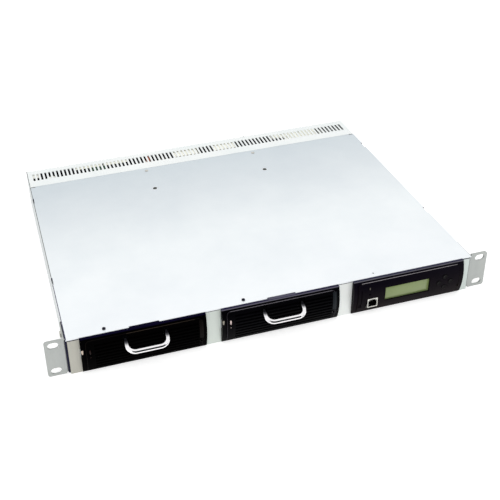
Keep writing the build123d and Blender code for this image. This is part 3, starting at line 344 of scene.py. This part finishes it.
finishSpecs = {
    "coverZinc": dict(second=(0.93, 0.94, 0.95), metal=0.5, rough=(0.36, 0.44), grain=900.0,
                      patch=14.0, along=("Y", coverShadeStops)),
    "stripZinc": dict(color=(0.95, 0.97, 0.96), second=(0.86, 0.91, 0.91), metal=0.4, rough=(0.38, 0.5),
                      grain=900.0, patch=14.0),
    "trayZinc": dict(color=(0.60, 0.63, 0.63), second=(0.52, 0.55, 0.56), metal=0.85, rough=(0.3, 0.42),
                     grain=700.0, patch=18.0),
    "earZinc": dict(color=(0.48, 0.50, 0.48), second=(0.42, 0.44, 0.43), metal=0.6, rough=(0.36, 0.5),
                    grain=1500.0, stretch=(1, 1, 0.12), patch=60.0, bump=0.012),
    "postCoat": dict(second=(0.95, 0.95, 0.94), metal=0.3, rough=(0.4, 0.52), grain=1100.0,
                     patch=12.0, along=("X", postShadeStops)),
    "screwZinc": dict(color=(0.55, 0.55, 0.52), second=(0.66, 0.65, 0.60), metal=0.95, rough=(0.22, 0.36),
                      grain=2500.0, patch=300.0),
    "blackScrew": dict(color=(0.004, 0.004, 0.010), second=(0.008, 0.007, 0.020), rough=(0.3, 0.45),
                       grain=2500.0, patch=300.0, specular=0.1),
    "boardGreen": dict(color=(0.02, 0.13, 0.06), second=(0.015, 0.10, 0.05), rough=(0.25, 0.4), grain=1200.0,
                       patch=60.0, bump=0.02, coat=0.4),
    "blackMoulding": dict(color=(0.006, 0.006, 0.007), second=(0.010, 0.010, 0.012), rough=(0.4, 0.55),
                          grain=2200.0, patch=80.0, bump=0.02, specular=0.25),
    "shadeBlack": dict(color=(0.002, 0.002, 0.003), second=(0.003, 0.003, 0.004), rough=(0.6, 0.8),
                       specular=0.0),
    # painted shade: near black for strips standing in shaded joints
    "jointShade": dict(color=(0.010, 0.010, 0.028), second=(0.02, 0.02, 0.045), rough=(0.4, 0.6), patch=80.0,
                      specular=0.1),
    "copper": dict(color=(0.80, 0.42, 0.26), second=(0.62, 0.30, 0.18), metal=1.0, rough=(0.24, 0.4),
                   grain=900.0, stretch=(0.1, 1, 1), patch=40.0),
    "brassPlate": dict(color=(0.78, 0.62, 0.33), second=(0.66, 0.50, 0.26), metal=1.0, rough=(0.2, 0.35),
                       grain=1800.0, patch=120.0),
    "tinShell": dict(color=(0.88, 0.87, 0.82), second=(0.78, 0.77, 0.72), metal=0.4, rough=(0.2, 0.32),
                     grain=1500.0, patch=150.0),
    # painted glow: the pale header and relay parts glow a little, though they hold no lamp
    "headerWhiteGlow": dict(color=(0.84, 0.84, 0.79), second=(0.76, 0.75, 0.69), rough=(0.4, 0.55), grain=1500.0,
                        patch=90.0, bump=0.02, glow=0.25),
    "relayCreamGlow": dict(color=(0.84, 0.83, 0.76), second=(0.77, 0.76, 0.68), rough=(0.4, 0.55), grain=1500.0,
                       patch=60.0, bump=0.02, glow=0.3),
    "relayBand": dict(color=(0.16, 0.13, 0.10), second=(0.24, 0.21, 0.17), rough=(0.4, 0.6), patch=200.0),
    # painted glow on the red part as well
    "partRedGlow": dict(color=(0.52, 0.16, 0.09), second=(0.42, 0.12, 0.06), rough=(0.3, 0.4), glow=0.3),
    "partGreen": dict(color=(0.008, 0.045, 0.018), second=(0.012, 0.06, 0.025), rough=(0.4, 0.55), patch=300.0,
                      specular=0.2),
    "partOlive": dict(color=(0.10, 0.12, 0.08), second=(0.16, 0.15, 0.12), rough=(0.4, 0.55), patch=250.0),
    "bezelBlack": dict(second=(0.7, 0.7, 0.7), rough=(0.34, 0.46), grain=2600.0, patch=35.0,
                       specular=0.03, along=("Z", bezelTopSheenStops)),
    "bezelInk": dict(second=(0.7, 0.7, 0.7), rough=(0.5, 0.6), grain=2600.0, patch=35.0,
                     specular=0.01, along=("Z", inkTopSheenStops)),
    "bezelPlum": dict(second=(0.6, 0.65, 0.7), rough=(0.34, 0.46), grain=2600.0, patch=70.0,
                      specular=0.03, along=("Z", plumTopSheenStops)),
    # painted highlight: a dull light line for the raised panel's edge bead and the end hole's rim
    "bezelEdgeSheen": dict(color=(0.018, 0.016, 0.022), second=(0.028, 0.024, 0.034), rough=(0.3, 0.4),
                      specular=0.2),
    "inkEdge": dict(color=(0.002, 0.0015, 0.0015), second=(0.006, 0.004, 0.003), rough=(0.4, 0.5), patch=50.0,
                    specular=0.05),
    "bezelGlint": dict(color=(0.13, 0.12, 0.14), second=(0.07, 0.065, 0.075), rough=(0.25, 0.35), patch=40.0,
                       specular=0.3),
    "plumGlint": dict(color=(0.26, 0.24, 0.25), second=(0.15, 0.14, 0.15), rough=(0.25, 0.35), patch=40.0,
                      specular=0.3),
    "inkGlint": dict(color=(0.035, 0.026, 0.018), second=(0.012, 0.009, 0.007), rough=(0.4, 0.5), patch=60.0,
                     specular=0.05),
    "bezelPad": dict(color=(0.012, 0.017, 0.021), second=(0.008, 0.011, 0.013), rough=(0.35, 0.5), patch=80.0,
                     specular=0.12),
    "springBright": dict(color=(0.80, 0.66, 0.54), second=(0.56, 0.46, 0.38), rough=(0.25, 0.4), patch=300.0),
    "springDull": dict(color=(0.34, 0.32, 0.26), second=(0.16, 0.15, 0.12), rough=(0.25, 0.4), patch=300.0),
    "chrome": dict(second=(0.96, 0.96, 0.97), metal=1.0, rough=(0.03, 0.06), grain=1800.0,
                   patch=200.0, bump=0, along=("Z", chromeRootShadeStops)),
    "lampLens": dict(second=(0.9, 0.85, 0.85), rough=(0.15, 0.3), grain=1800.0, patch=300.0,
                     coat=0.5, along=("Z", lampStops)),
    "lampDark": dict(color=(0.012, 0.006, 0.006), second=(0.02, 0.009, 0.008), rough=(0.2, 0.35), patch=300.0,
                     specular=0.1),
    "statusDim": dict(color=(0.075, 0.07, 0.055), second=(0.10, 0.09, 0.075), rough=(0.2, 0.3), specular=0.2),
    "bendShade": dict(second=(0.8, 0.8, 0.8), rough=(0.4, 0.5), patch=120.0, specular=0.2,
                      along=("Y", bendStops)),
    "screwDark": dict(color=(0.02, 0.026, 0.02), second=(0.035, 0.045, 0.04), metal=0.2, rough=(0.3, 0.45),
                      grain=2500.0, patch=300.0),
    # painted highlight: white rims standing for the light round two screws
    "rimHighlight": dict(color=(0.97, 0.98, 0.98), second=(0.90, 0.92, 0.92), metal=0.2, rough=(0.3, 0.4),
                      patch=200.0),
    "sinkMetal": dict(color=(0.66, 0.67, 0.68), second=(0.58, 0.59, 0.60), metal=0.95, rough=(0.3, 0.42),
                      grain=1800.0, stretch=(1, 0.05, 1), patch=40.0),
    "ferrite": dict(color=(0.05, 0.05, 0.05), second=(0.16, 0.11, 0.03), rough=(0.4, 0.6), patch=50.0,
                    bump=0.04),
    "canSleeve": dict(color=(0.02, 0.025, 0.05), second=(0.03, 0.035, 0.07), rough=(0.2, 0.35), coat=0.3),
    "displayGreen": dict(color=(0.222, 0.288, 0.108), second=(0.246, 0.312, 0.122), rough=(0.16, 0.24),
                         grain=900.0, patch=40.0, coat=0.15, under=("Z", displayRecessShadowStops)),
    "keyGrey": dict(color=(0.002, 0.0015, 0.002), second=(0.004, 0.003, 0.004), rough=(0.35, 0.5),
                    grain=2600.0, patch=120.0, bump=0.015, specular=0.08),
}
finishes = {name: makeFinish(name, **spec) for name, spec in finishSpecs.items()}

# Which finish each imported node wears, by the start of its name or else by its end; the first match counts
startFinishes = (
    ("rectifier_1_bezel", "bezelInk"), ("controller_bezel", "bezelPlum"), ("button_", "keyGrey"),
    ("usb_port", "tinShell"), ("status_lamp", "statusDim"), ("top_cover", "coverZinc"),
    ("rear_hood", "stripZinc"), ("chassis_tray", "trayZinc"), ("front_frame", "postCoat"),
    ("ear_screws", "screwZinc"), ("ear_", "earZinc"), ("divider_screws", "screwDark"),
    ("divider_", "trayZinc"), ("side_guide", "trayZinc"), ("cover_screws", "blackScrew"),
    ("hood_rivets", "screwZinc"), ("rear_board", "boardGreen"), ("bay_sockets", "blackMoulding"),
    ("busbar", "copper"), ("output_block", "blackMoulding"), ("terminal_hardware", "brassPlate"),
    ("mains_inlet", "blackMoulding"), ("inlet_pins", "brassPlate"), ("signal_port", "tinShell"),
    ("board_headers", "headerWhiteGlow"), ("power_relays", "relayCreamGlow"),
)
endFinishes = (
    ("_case", "trayZinc"), ("_lid", "trayZinc"), ("_bezel", "bezelBlack"), ("_handle", "chrome"),
    ("_lamps", "lampLens"), ("_fan_frame", "blackMoulding"), ("_fan_rotor", "blackMoulding"),
    ("_board", "boardGreen"), ("_heat_sink", "sinkMetal"), ("_transformer", "ferrite"),
    ("_capacitors", "canSleeve"), ("_display", "displayGreen"),
)


def finishOf(node):
    # the first matching start, else the first matching end
    for start, finish in startFinishes:
        if node.startswith(start):
            return finishes[finish]
    for end, finish in endFinishes:
        if node.endswith(end):
            return finishes[finish]
    raise ValueError("no finish for " + node)


for node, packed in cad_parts.items():
    packed.data.materials.clear()
    packed.data.materials.append(finishOf(node))
print("finishes on", len(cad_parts), "packed nodes")


# Surfaces: each builder gives a rows by columns array of points in mm
def unit(vectors):
    # each vector divided by its own length
    return vectors / np.linalg.norm(vectors, axis=-1, keepdims=True)


def ribbon(path, width, sides, up):
    # a round section carried along a path: point + width (cos a side + sin a other), with its ends closed
    path = np.asarray(path, float)
    tangent = unit(np.gradient(path, axis=0))
    side = unit(np.cross(tangent, up))
    other = np.cross(side, tangent)
    a = np.linspace(0, 2 * np.pi, sides + 1)[None, :, None]
    grid = path[:, None] + width * (np.cos(a) * side[:, None] + np.sin(a) * other[:, None])
    ends = np.repeat(path[[0, -1]][:, None], sides + 1, axis=1)
    return np.concatenate([ends[:1], grid, ends[1:]])


def turned(profile, place, axis, sides=24):
    # a profile of (radius, height) pairs turned about X or Y: radius cos a, radius sin a, height along the axis
    profile = np.asarray(profile, float)
    a = np.linspace(0, 2 * np.pi, sides + 1)[None]
    r, h = profile[:, :1], profile[:, 1:] + 0 * a
    flat = {"X": (h, r * np.cos(a), r * np.sin(a)), "Y": (r * np.cos(a), h, r * np.sin(a))}[axis]
    return np.stack(flat, -1) + np.asarray(place, float)


def softBox(low, high, r, steps=2):
    # a box with round edges: a sphere of radius r cut into eight parts, each moved out to a corner of the box
    low, high = np.asarray(low, float), np.asarray(high, float)
    middle, half = (low + high) / 2, (high - low) / 2
    quarter = np.linspace(0, np.pi / 2, steps + 1)
    lat = np.concatenate([np.pi / 2 - quarter, -quarter])[:, None]
    lon = np.concatenate([quarter + k * np.pi / 2 for k in range(4)] + [[0.0]])[None]
    signX = np.repeat([1, -1, -1, 1, 1], [steps + 1] * 4 + [1])[None]
    signY = np.repeat([1, 1, -1, -1, 1], [steps + 1] * 4 + [1])[None]
    signZ = np.repeat([1, -1], steps + 1)[:, None]
    room = half - r
    x = signX * room[0] + r * np.cos(lat) * np.cos(lon)
    y = signY * room[1] + r * np.cos(lat) * np.sin(lon)
    z = signZ * room[2] + r * np.sin(lat) + 0 * lon
    grid = np.stack([x, y, z], -1) + middle
    poles = np.broadcast_to(middle, (2, 1, 3)) + np.array([[[0, 0, half[2]]], [[0, 0, -half[2]]]])
    poles = np.repeat(poles, grid.shape[1], axis=1)
    return np.concatenate([poles[:1], grid, poles[1:]])


def facePlate(x, z, wide, high, front, back, r, steps=2):
    # a soft box given by its middle seen from the front, its width and height, and its front and back
    return softBox((x - wide / 2, front, z - high / 2), (x + wide / 2, back, z + high / 2), r, steps)


def sleeve(outline, y, wall):
    # an open-fronted cup: an outline in X and Z run back from y[0] to y[1], with an inner skin shrunk by wall
    outline = np.asarray(outline, float)
    centre = outline.mean(0)
    shrink = centre + (outline - centre) * (1 - wall / np.abs(outline - centre).max(0))
    point = outline * 0 + centre
    rows = [(point, y[1]), (outline, y[1]), (outline, y[0]), (shrink, y[0]), (shrink, y[1] - wall),
            (point, y[1] - wall)]
    grid = np.stack([np.stack([p[:, 0], np.full(len(p), depth), p[:, 1]], -1) for p, depth in rows])
    return np.concatenate([grid, grid[:, :1]], axis=1)


meshSet = {"weld": 0.002, "degenerate": 0.001, "sharp": 35.0}      # the last one in degrees


def place(name, grids, finish, body, slot, replaced=()):
    # each cell of a grid is a face; the grids are welded into one mesh, whose normals are turned outward, and
    # the piece is hung on its body
    points, faces, start = [], [], 0
    for grid in grids:
        rows, cols = grid.shape[:2]
        index = start + np.arange(rows * cols).reshape(rows, cols)
        corners = index[:-1, :-1], index[:-1, 1:], index[1:, 1:], index[1:, :-1]
        faces.append(np.stack(corners, -1).reshape(-1, 4))
        points.append(grid.reshape(-1, 3))
        start = start + rows * cols
    mesh = bpy.data.meshes.new(name)
    mesh.from_pydata((np.concatenate(points) * mm).tolist(), [], np.concatenate(faces).tolist())
    work = bmesh.new()
    work.from_mesh(mesh)
    bmesh.ops.remove_doubles(work, verts=work.verts, dist=meshSet["weld"] * mm)
    bmesh.ops.dissolve_degenerate(work, edges=work.edges, dist=meshSet["degenerate"] * mm)
    bmesh.ops.recalc_face_normals(work, faces=work.faces)
    work.to_mesh(mesh)
    work.free()
    mesh.materials.append(finishes[finish])
    mesh.shade_smooth()
    mesh.set_sharp_from_angle(angle=np.radians(meshSet["sharp"]))
    piece = bpy.data.objects.new(name, mesh)
    bpy.context.scene.collection.objects.link(piece)
    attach(piece, body)
    if replaced:
        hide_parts(*replaced)


def arc(centre, radius, first, last, count=9):
    # points of a circle from one angle to another in degrees: centre + radius (cos a, sin a)
    a = np.radians(np.linspace(first, last, count))
    return np.stack([centre[0] + radius * np.cos(a), centre[1] + radius * np.sin(a)], -1)


bayCentres = (-143.1, 1.2, 145.5)     # X of the middle of each bay
bezelHalf = 64.0                      # half the width of a bezel
bodyOf = ("rectifier_1", "rectifier_2", "controller")

# Chrome bails
bailSet = {
    "span": 41.5,
    "reach": 16.9,
    "corner": 8.5,
    "wire": 2.5,              # radius
    "tilt": 27.2,             # degrees
    "shift": 1.4,             # from the bay's middle
    "pivot": (-6.5, 12.3),    # Y and Z
    "sides": 28,
    "legPoints": 8,
    "cornerPoints": 17,
    "barPoints": 12,
    "hub": ((0, -5.1), (1.3, -5.1), (1.5, -4.9), (1.5, -2.5), (1.9, -2.5), (2.5, -1.9), (2.5, 1.9),
            (1.9, 2.5), (1.5, 2.5), (1.5, 4.9), (1.3, 5.1), (0, 5.1)),      # radius, place along X
}


def bailGrids(centre, spec):
    # the bent path in the bail's own plane, swept round, then tilted down about the pivot and moved to its bay
    half, reach, corner = spec["span"] / 2, spec["reach"], spec["corner"]
    legs, turns, bar = spec["legPoints"], spec["cornerPoints"], spec["barPoints"]
    left = arc((-half + corner, reach - corner), corner, 180, 90, turns)
    right = arc((half - corner, reach - corner), corner, 90, 0, turns)
    legLeft = np.stack([np.full(legs, -half), np.linspace(0, reach - corner, legs, endpoint=False)], -1)
    legRight = np.stack([np.full(legs, half), np.linspace(reach - corner, 0, legs + 1)[1:]], -1)
    across = np.stack([np.linspace(-half + corner, half - corner, bar + 2)[1:-1], np.full(bar, reach)], -1)
    flat = np.concatenate([legLeft, left, across, right, legRight])
    path = np.stack([flat[:, 0], -flat[:, 1], 0 * flat[:, 0]], -1)
    wire = [ribbon(path, spec["wire"], spec["sides"], (0, 0, 1))]
    hubs = [turned(spec["hub"], (side * half, 0, 0), "X") for side in (-1, 1)]
    t = np.radians(spec["tilt"])
    tilt = np.array([[1, 0, 0], [0, np.cos(t), -np.sin(t)], [0, np.sin(t), np.cos(t)]])
    move = (centre + spec["shift"], *spec["pivot"])
    return [[grid @ tilt.T + move for grid in grids] for grids in (wire, hubs)]


for k in (0, 1):
    wire, hubs = bailGrids(bayCentres[k], bailSet)
    body = bodyOf[k] + "_bail"
    place("bailWire" + str(k + 1), wire, "chrome", body, "handle_chrome", [bodyOf[k] + "_handle"])
    # the hubs wear black as painted shade, for they sit in the slots' shade
    place("bailHubs" + str(k + 1), hubs, "shadeBlack", body, "handle_chrome")
print("bails")

# Bezels: a fine bead round each raised panel, a painted glint on its upper edge, pads, snap fingers, rims of the
# end holes and lamp lenses; bead and rims are painted highlights on bay two; places in X are from the bay's
# middle
bowSet = {"y": (-8.6, -11.1, -7.6), "z": (20.5, -2.6, -18.65)}     # three points of the raised panel's bow
beadSet = {"side": 59.0, "low": -18.4, "high": 18.75, "corner": 4.0, "width": 0.24, "proud": 0.04,
           "sidePoints": 24, "topPoints": 10, "sides": 8}
glintSet = {"high": 18.7, "width": 0.32, "proud": 0.12, "points": 24, "sides": 10,
            "spans": ((-18.0, 52.0), (-55.5, 55.5), (-55.5, 55.5))}
padSet = {"x": (56.2, 60.4), "z": (-5.5, 16.5), "thick": 0.12, "rows": 24, "finishes": ("inkEdge", "bezelPad")}
# edge and glint finishes for each bay; the edge ones are near black or a painted highlight line
faceFinishes = (("inkEdge", "inkGlint"), ("bezelEdgeSheen", "bezelGlint"), ("inkEdge", "plumGlint"))


def bowDepth(z, spec):
    # front of the raised panel at a height: the circle through the three points of the bow
    p = np.array([spec["z"], spec["y"]], float).T
    rows = 2 * (p[1:] - p[0])
    centre = np.linalg.solve(rows, (p[1:] ** 2).sum(1) - (p[0] ** 2).sum())
    radius = np.hypot(*(p[0] - centre))
    return centre[1] - np.sqrt(radius ** 2 - (np.asarray(z) - centre[0]) ** 2)


def beadGrid(centre, spec):
    # up the left side, round two corners and down the right side, on the bow
    side, low, high, corner = spec["side"], spec["low"], spec["high"], spec["corner"]
    n, m = spec["sidePoints"], spec["topPoints"]
    up = np.stack([np.full(n, -side), np.linspace(low, high - corner, n, endpoint=False)], -1)
    left = arc((-side + corner, high - corner), corner, 180, 90)
    right = arc((side - corner, high - corner), corner, 90, 0)
    top = np.stack([np.linspace(-side + corner, side - corner, m + 2)[1:-1], np.full(m, high)], -1)
    flat = np.concatenate([up, left, top, right, up[::-1] * (-1, 1)])
    path = np.stack([flat[:, 0] + centre, bowDepth(flat[:, 1], bowSet) - spec["proud"], flat[:, 1]], -1)
    return ribbon(path, spec["width"], spec["sides"], (0, -1, 0))


def glintGrid(centre, span, spec):
    # a straight bead along the panel's upper edge, on the bow
    x = np.linspace(*span, spec["points"]) + centre
    z = np.full(spec["points"], spec["high"])
    path = np.stack([x, bowDepth(z, bowSet) - spec["proud"], z], -1)
    return ribbon(path, spec["width"], spec["sides"], (0, -1, 0))


def padGrid(centre, spec):
    # a thin moulded pad on the bow: rows up the bow, columns round its section
    z = np.linspace(*spec["z"], spec["rows"])
    front = bowDepth(z, bowSet) - spec["thick"]
    x = np.array(spec["x"])[[0, 0, 1, 1, 0]] + centre
    y = front[:, None] + 2 * spec["thick"] * np.array([1, 0, 0, 1, 1])
    grid = np.stack([x + 0 * y, y, z[:, None] + 0 * y], -1)
    ends = np.repeat(grid[[0, -1]].mean(1, keepdims=True), len(x), axis=1)
    return np.concatenate([ends[:1], grid, ends[1:]])


holeSet = {"margin": 5.6, "height": -9.0, "radius": (2.0, 2.0, 1.45), "width": 0.28, "sunk": 0.02,
           "points": 33, "sides": 8}
springSet = {"lobes": ((-63.95, -61.6, 3.4, 9.4), (-63.6, -62.0, -0.2, 4.2)),     # from x, to x, from z, to z
             "y": (-10.45, -8.9), "round": 0.6, "steps": 4, "finishes": ("springBright", "springDull")}


def ringGrid(x, radius, spec):
    # a thin ring lying on the bow round a hole
    flat = arc((x, spec["height"]), radius, 0, 360, spec["points"])
    path = np.stack([flat[:, 0], bowDepth(flat[:, 1], bowSet) + spec["sunk"], flat[:, 1]], -1)
    return ribbon(path, spec["width"], spec["sides"], (0, -1, 0))


for k in range(3):
    number, centre, body = str(k + 1), bayCentres[k], bodyOf[k]
    edge, glint = faceFinishes[k]
    # the bead is a painted highlight line on the second bay, near black on the others
    place("panelBead" + number, [beadGrid(centre, beadSet)], edge, body, "bezel_plastic")
    upper = glintGrid(centre, glintSet["spans"][k], glintSet)
    place("panelGlint" + number, [upper], glint, body, "bezel_plastic")
    if k < 2:
        place("sidePad" + number, [padGrid(centre, padSet)], padSet["finishes"][k], body, "bezel_plastic")
        y0, y1 = springSet["y"]
        lobes = [softBox((centre + x0, y0, z0), (centre + x1, y1, z1), springSet["round"], springSet["steps"])
                 for x0, x1, z0, z1 in springSet["lobes"]]
        place("snapFingers" + number, lobes, springSet["finishes"][k], body, "zinc_sheet")
    # the ring round the end hole is a painted highlight rim on the second bay, near black on the others
    ring = ringGrid(centre + bezelHalf - holeSet["margin"], holeSet["radius"][k], holeSet)
    place("holeRing" + number, [ring], edge, body, "bezel_plastic")

lampSet = {
    "margin": 8.8,            # from the bezel's left end
    "height": 5.7,
    "long": 5.2,
    "wide": 1.7,
    "proud": 0.25,
    "back": -5.0,
    "round": 0.85,
    "steps": 5,
    "drop": 6.2,              # from the tall lens down to the round one
    "dome": ((0, -0.3), (0.4, -0.22), (0.65, 0.1), (0.65, 5.5), (0, 5.5)),     # radius, depth
    "finishes": ("lampDark", "lampLens"),
}
for k in (0, 1):
    x, z = bayCentres[k] - bezelHalf + lampSet["margin"], lampSet["height"]
    lens = facePlate(x, z, lampSet["wide"], lampSet["long"], bowDepth(z, bowSet) - lampSet["proud"],
                     lampSet["back"], lampSet["round"], lampSet["steps"])
    z = z - lampSet["drop"]
    spot = turned(lampSet["dome"], (x, bowDepth(z, bowSet), z), "Y")
    place("lampLens" + str(k + 1), [lens, spot], lampSet["finishes"][k], bodyOf[k], "lamp_lens",
          [bodyOf[k] + "_lamps"])
print("bezel details")

# Controller face: keys, display window with a painted shadow along its lower edge, and the square port's liner
# as painted shade, tongue and rim
keySet = {
    "crown": ((0, 0.28), (1.3, 0.22), (1.9, 0.08), (2.25, 0.0), (2.5, 0.12), (2.68, 0.45), (2.7, 0.8)),
    "stem": 2.7,              # radius, as the flange's is
    "flange": 3.2,
    "flangeThick": 0.8,
    "sides": 32,
}
for key in ("up", "left", "right", "down"):
    low, high = (np.array(corner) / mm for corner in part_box("button_" + key))
    middle, deep = (low + high) / 2, high[1] - low[1]
    skirt = ((keySet["stem"], deep - keySet["flangeThick"]), (keySet["flange"], deep - keySet["flangeThick"]),
             (keySet["flange"], deep), (0, deep))
    cap = turned(keySet["crown"] + skirt, (middle[0], low[1], middle[2]), "Y", keySet["sides"])
    place("key" + key.capitalize(), [cap], "keyGrey", "key_" + key, "button_plastic", ["button_" + key])

displaySet = {"x": 143.2, "z": 0.2, "wide": 51.6, "high": 17.1, "front": -8.95, "back": -8.6, "r": 0.17}
place("displayWindow", [facePlate(**displaySet)], "displayGreen", "controller", "display_glass")

portSet = {"x": 103.0, "z": -7.3, "wide": 9.8, "high": 9.1, "corner": 1.7, "y": (-11.12, 1.7), "wall": 0.7}


def portOutline(spec):
    # the port's mouth: a rectangle with its two upper corners cut
    w, h, c = spec["wide"] / 2, spec["high"] / 2, spec["corner"]
    corners = np.array([(-w, -h), (w, -h), (w, h - c), (w - c, h), (-w + c, h), (-w, h - c)])
    return corners + (spec["x"], spec["z"])


# a black liner as painted shade inside the port's mouth
shadeLiner = sleeve(portOutline(portSet), portSet["y"], portSet["wall"])
place("portShadeLiner", [shadeLiner], "shadeBlack", "controller", "black_plastic")
tongueSet = {"wide": 5.9, "high": 3.5, "front": -6.75, "back": 1.6, "r": 0.3}
tongue = facePlate(portSet["x"], portSet["z"], **tongueSet)
place("portTongue", [tongue], "blackMoulding", "controller", "black_plastic")
rimSet = {"x": (96.55, 109.45), "z": (-13.6, -1.0), "wide": 0.75, "y": (-11.25, -10.6), "round": 0.15}


def rimBars(spec):
    # four soft boxes round the square port, each as long as its side
    (x0, x1), (z0, z1), w, (y0, y1) = spec["x"], spec["z"], spec["wide"], spec["y"]
    sides = ((x0, x1, z1 - w, z1), (x0, x1, z0, z0 + w), (x0, x0 + w, z0, z1), (x1 - w, x1, z0, z1))
    return [softBox((a, y0, c), (b, y1, d), spec["round"]) for a, b, c, d in sides]


place("portRim", rimBars(rimSet), "inkEdge", "controller", "bezel_plastic")
print("controller face")

# What shows through the slots of the rear strip: real parts, pale parts with a painted glow, and black sheets
# and boxes as painted shade
shadeSet = {"y": (341.3, 341.7), "top": 20.5, "round": 0.15,
            "spans": ((-216.0, 62.0, 7.2), (62.2, 102.0, 13.6), (102.2, 216.0, 7.2))}     # from x, to x, from z
for k, (x0, x1, z0) in enumerate(shadeSet["spans"]):
    y0, y1 = shadeSet["y"]
    shade = softBox((x0, y0, z0), (x1, y1, shadeSet["top"]), shadeSet["round"])
    place("rearShade" + str(k + 1), [shade], "shadeBlack", "shelf", "black_plastic")
# real parts, pale parts with a painted glow, and black boxes as painted shade behind the slots
partAndShadeSet = (                   # low corner, high corner, rounding, finish, slot
    ((-214.5, 327.0, -13.4), (-205.5, 337.5, 19.3), 0.6, "headerWhiteGlow", "white_plastic"),
    ((-138.6, 318.0, -13.4), (-118.4, 328.4, 20.4), 0.5, "partGreen", "circuit_board"),
    ((-62.5, 327.0, 8.8), (-58.5, 339.5, 18.5), 1.6, "partRedGlow", "capacitor_sleeve"),
    ((-67.5, 316.5, 8.8), (-63.5, 326.0, 18.0), 1.2, "headerWhiteGlow", "white_plastic"),
    ((-195.5, 317.5, 8.8), (-185.5, 325.0, 19.3), 1.2, "headerWhiteGlow", "white_plastic"),
    ((-47.0, 318.0, 8.8), (-37.0, 331.0, 16.5), 1.2, "partOlive", "capacitor_sleeve"),
    ((183.0, 316.0, -13.4), (206.0, 334.0, -8.0), 0.5, "sinkMetal", "sink_aluminium"),
    ((-158.5, 318.0, -13.4), (-138.7, 328.2, 20.4), 0.5, "shadeBlack", "black_plastic"),
    ((-118.3, 318.0, -13.4), (-88.0, 328.2, 20.4), 0.5, "shadeBlack", "black_plastic"),
    ((103.0, 322.0, -13.4), (128.5, 327.0, 18.9), 0.6, "shadeBlack", "black_plastic"),
    ((-25.4, 311.3, 18.8), (5.6, 320.2, 20.0), 0.3, "relayBand", "black_plastic"),
    ((-25.4, 334.3, 18.8), (5.6, 336.7, 20.0), 0.3, "relayBand", "black_plastic"),
    ((28.5, 311.3, 18.8), (59.5, 320.2, 20.0), 0.3, "relayBand", "black_plastic"),
    ((28.5, 334.3, 18.8), (59.5, 336.7, 20.0), 0.3, "relayBand", "black_plastic"),
    ((-214.5, 320.0, -13.4), (-205.5, 326.8, 18.9), 0.6, "shadeBlack", "black_plastic"),
    ((66.0, 311.0, -13.4), (99.0, 326.0, 14.5), 0.8, "shadeBlack", "black_plastic"),
)
for k, (low, high, r, finish, slot) in enumerate(partAndShadeSet):
    place("boardPartAndShade" + str(k + 1), [softBox(low, high, r)], finish, "shelf", slot)
ventShadeSet = {"y": (312.5, 336.5), "z": (20.1, 20.5), "round": 0.1,
           "x": ((-204.8, -196.2), (-184.8, -159.2), (-87.4, -68.2), (-57.4, -47.8), (-36.4, -27.2),
                 (7.4, 26.6), (62.2, 101.6))}
finSet = {"first": 183.7, "pitch": 3.6, "count": 7, "sheet": 1.3, "y": (316.0, 334.0), "z": (-9.0, 19.2),
          "round": 0.3}


def barRow(spans, y, z, r):
    # soft boxes side by side, one for each span in X, all with the same Y and Z
    return [softBox((x0, y[0], z[0]), (x1, y[1], z[1]), r) for x0, x1 in spans]


# black sheets just under the dark slots, as painted shade
ventShades = barRow(ventShadeSet["x"], ventShadeSet["y"], ventShadeSet["z"], ventShadeSet["round"])
place("ventShade", ventShades, "shadeBlack", "shelf", "black_plastic")
starts = [finSet["first"] + k * finSet["pitch"] for k in range(finSet["count"])]
fins = barRow([(x, x + finSet["sheet"]) for x in starts], finSet["y"], finSet["z"], finSet["round"])
place("boardFins", fins, "sinkMetal", "shelf", "sink_aluminium")
print("rear board parts and shades")

# Painted shade in the joints: dark strips where shade falls between the ears and the front, under the cover's
# front edge, on top of the ear wings, and at the rear ends of the cover's side notches
jointShadeSet = (                  # low corner, high corner, rounding
    ((-220.9, -3.4, -20.4), (-218.85, -0.6, 20.0), 0.25),
    ((219.3, -2.6, -20.4), (220.3, -0.6, 20.0), 0.25),
    ((-218.7, -4.66, 19.55), (-207.7, -3.5, 20.78), 0.2),
    ((-78.5, -4.5, 19.9), (-63.4, -3.5, 20.75), 0.2),
    ((65.8, -4.5, 19.9), (80.9, -3.5, 20.75), 0.2),
    ((210.1, -4.66, 19.45), (218.7, -3.5, 20.78), 0.2),
    ((-220.9, 0.5, 20.05), (-220.05, 27.5, 20.5), 0.1),
    ((220.05, 0.5, 20.05), (220.9, 27.5, 20.5), 0.1),
    ((-219.9, 100.0, 18.9), (-218.7, 101.5, 21.6), 0.25),
    ((-219.9, 271.0, 18.9), (-218.7, 272.5, 21.6), 0.25),
    ((218.7, 100.0, 18.9), (219.9, 101.5, 21.6), 0.25),
    ((218.7, 271.0, 18.9), (219.9, 272.5, 21.6), 0.25),
)
place("jointShades", [softBox(low, high, r) for low, high, r in jointShadeSet], "jointShade", "shelf", "black_plastic")
print("painted joint shades")

# Painted shade along the cover's left bend, between the notches, and painted highlight rims round two cover
# screws
bendSet = {"x": (-220.0, -219.25), "z": (21.45, 21.87), "round": 0.12,
           "y": ((-4.4, 88.2), (101.9, 259.4), (272.9, 299.6), (300.6, 342.4))}
(x0, x1), (z0, z1) = bendSet["x"], bendSet["z"]
bendShades = [softBox((x0, y0, z0), (x1, y1, z1), bendSet["round"]) for y0, y1 in bendSet["y"]]
place("bendShadeLines", bendShades, "bendShade", "shelf", "bright_sheet")
screwRimSet = {"places": ((-70.95, 246.8), (73.35, 246.8)), "radius": 3.0, "width": 0.3, "height": 21.95,
               "points": 33, "sides": 8}
rims = []
for centre in screwRimSet["places"]:
    flat = arc(centre, screwRimSet["radius"], 0, 360, screwRimSet["points"])
    ring = np.stack([flat[:, 0], flat[:, 1], np.full(len(flat), screwRimSet["height"])], -1)
    rims.append(ribbon(ring, screwRimSet["width"], screwRimSet["sides"], (0, 0, 1)))
place("screwHighlightRims", rims, "rimHighlight", "shelf", "zinc_sheet")
print("bend shade and screw highlight rims")
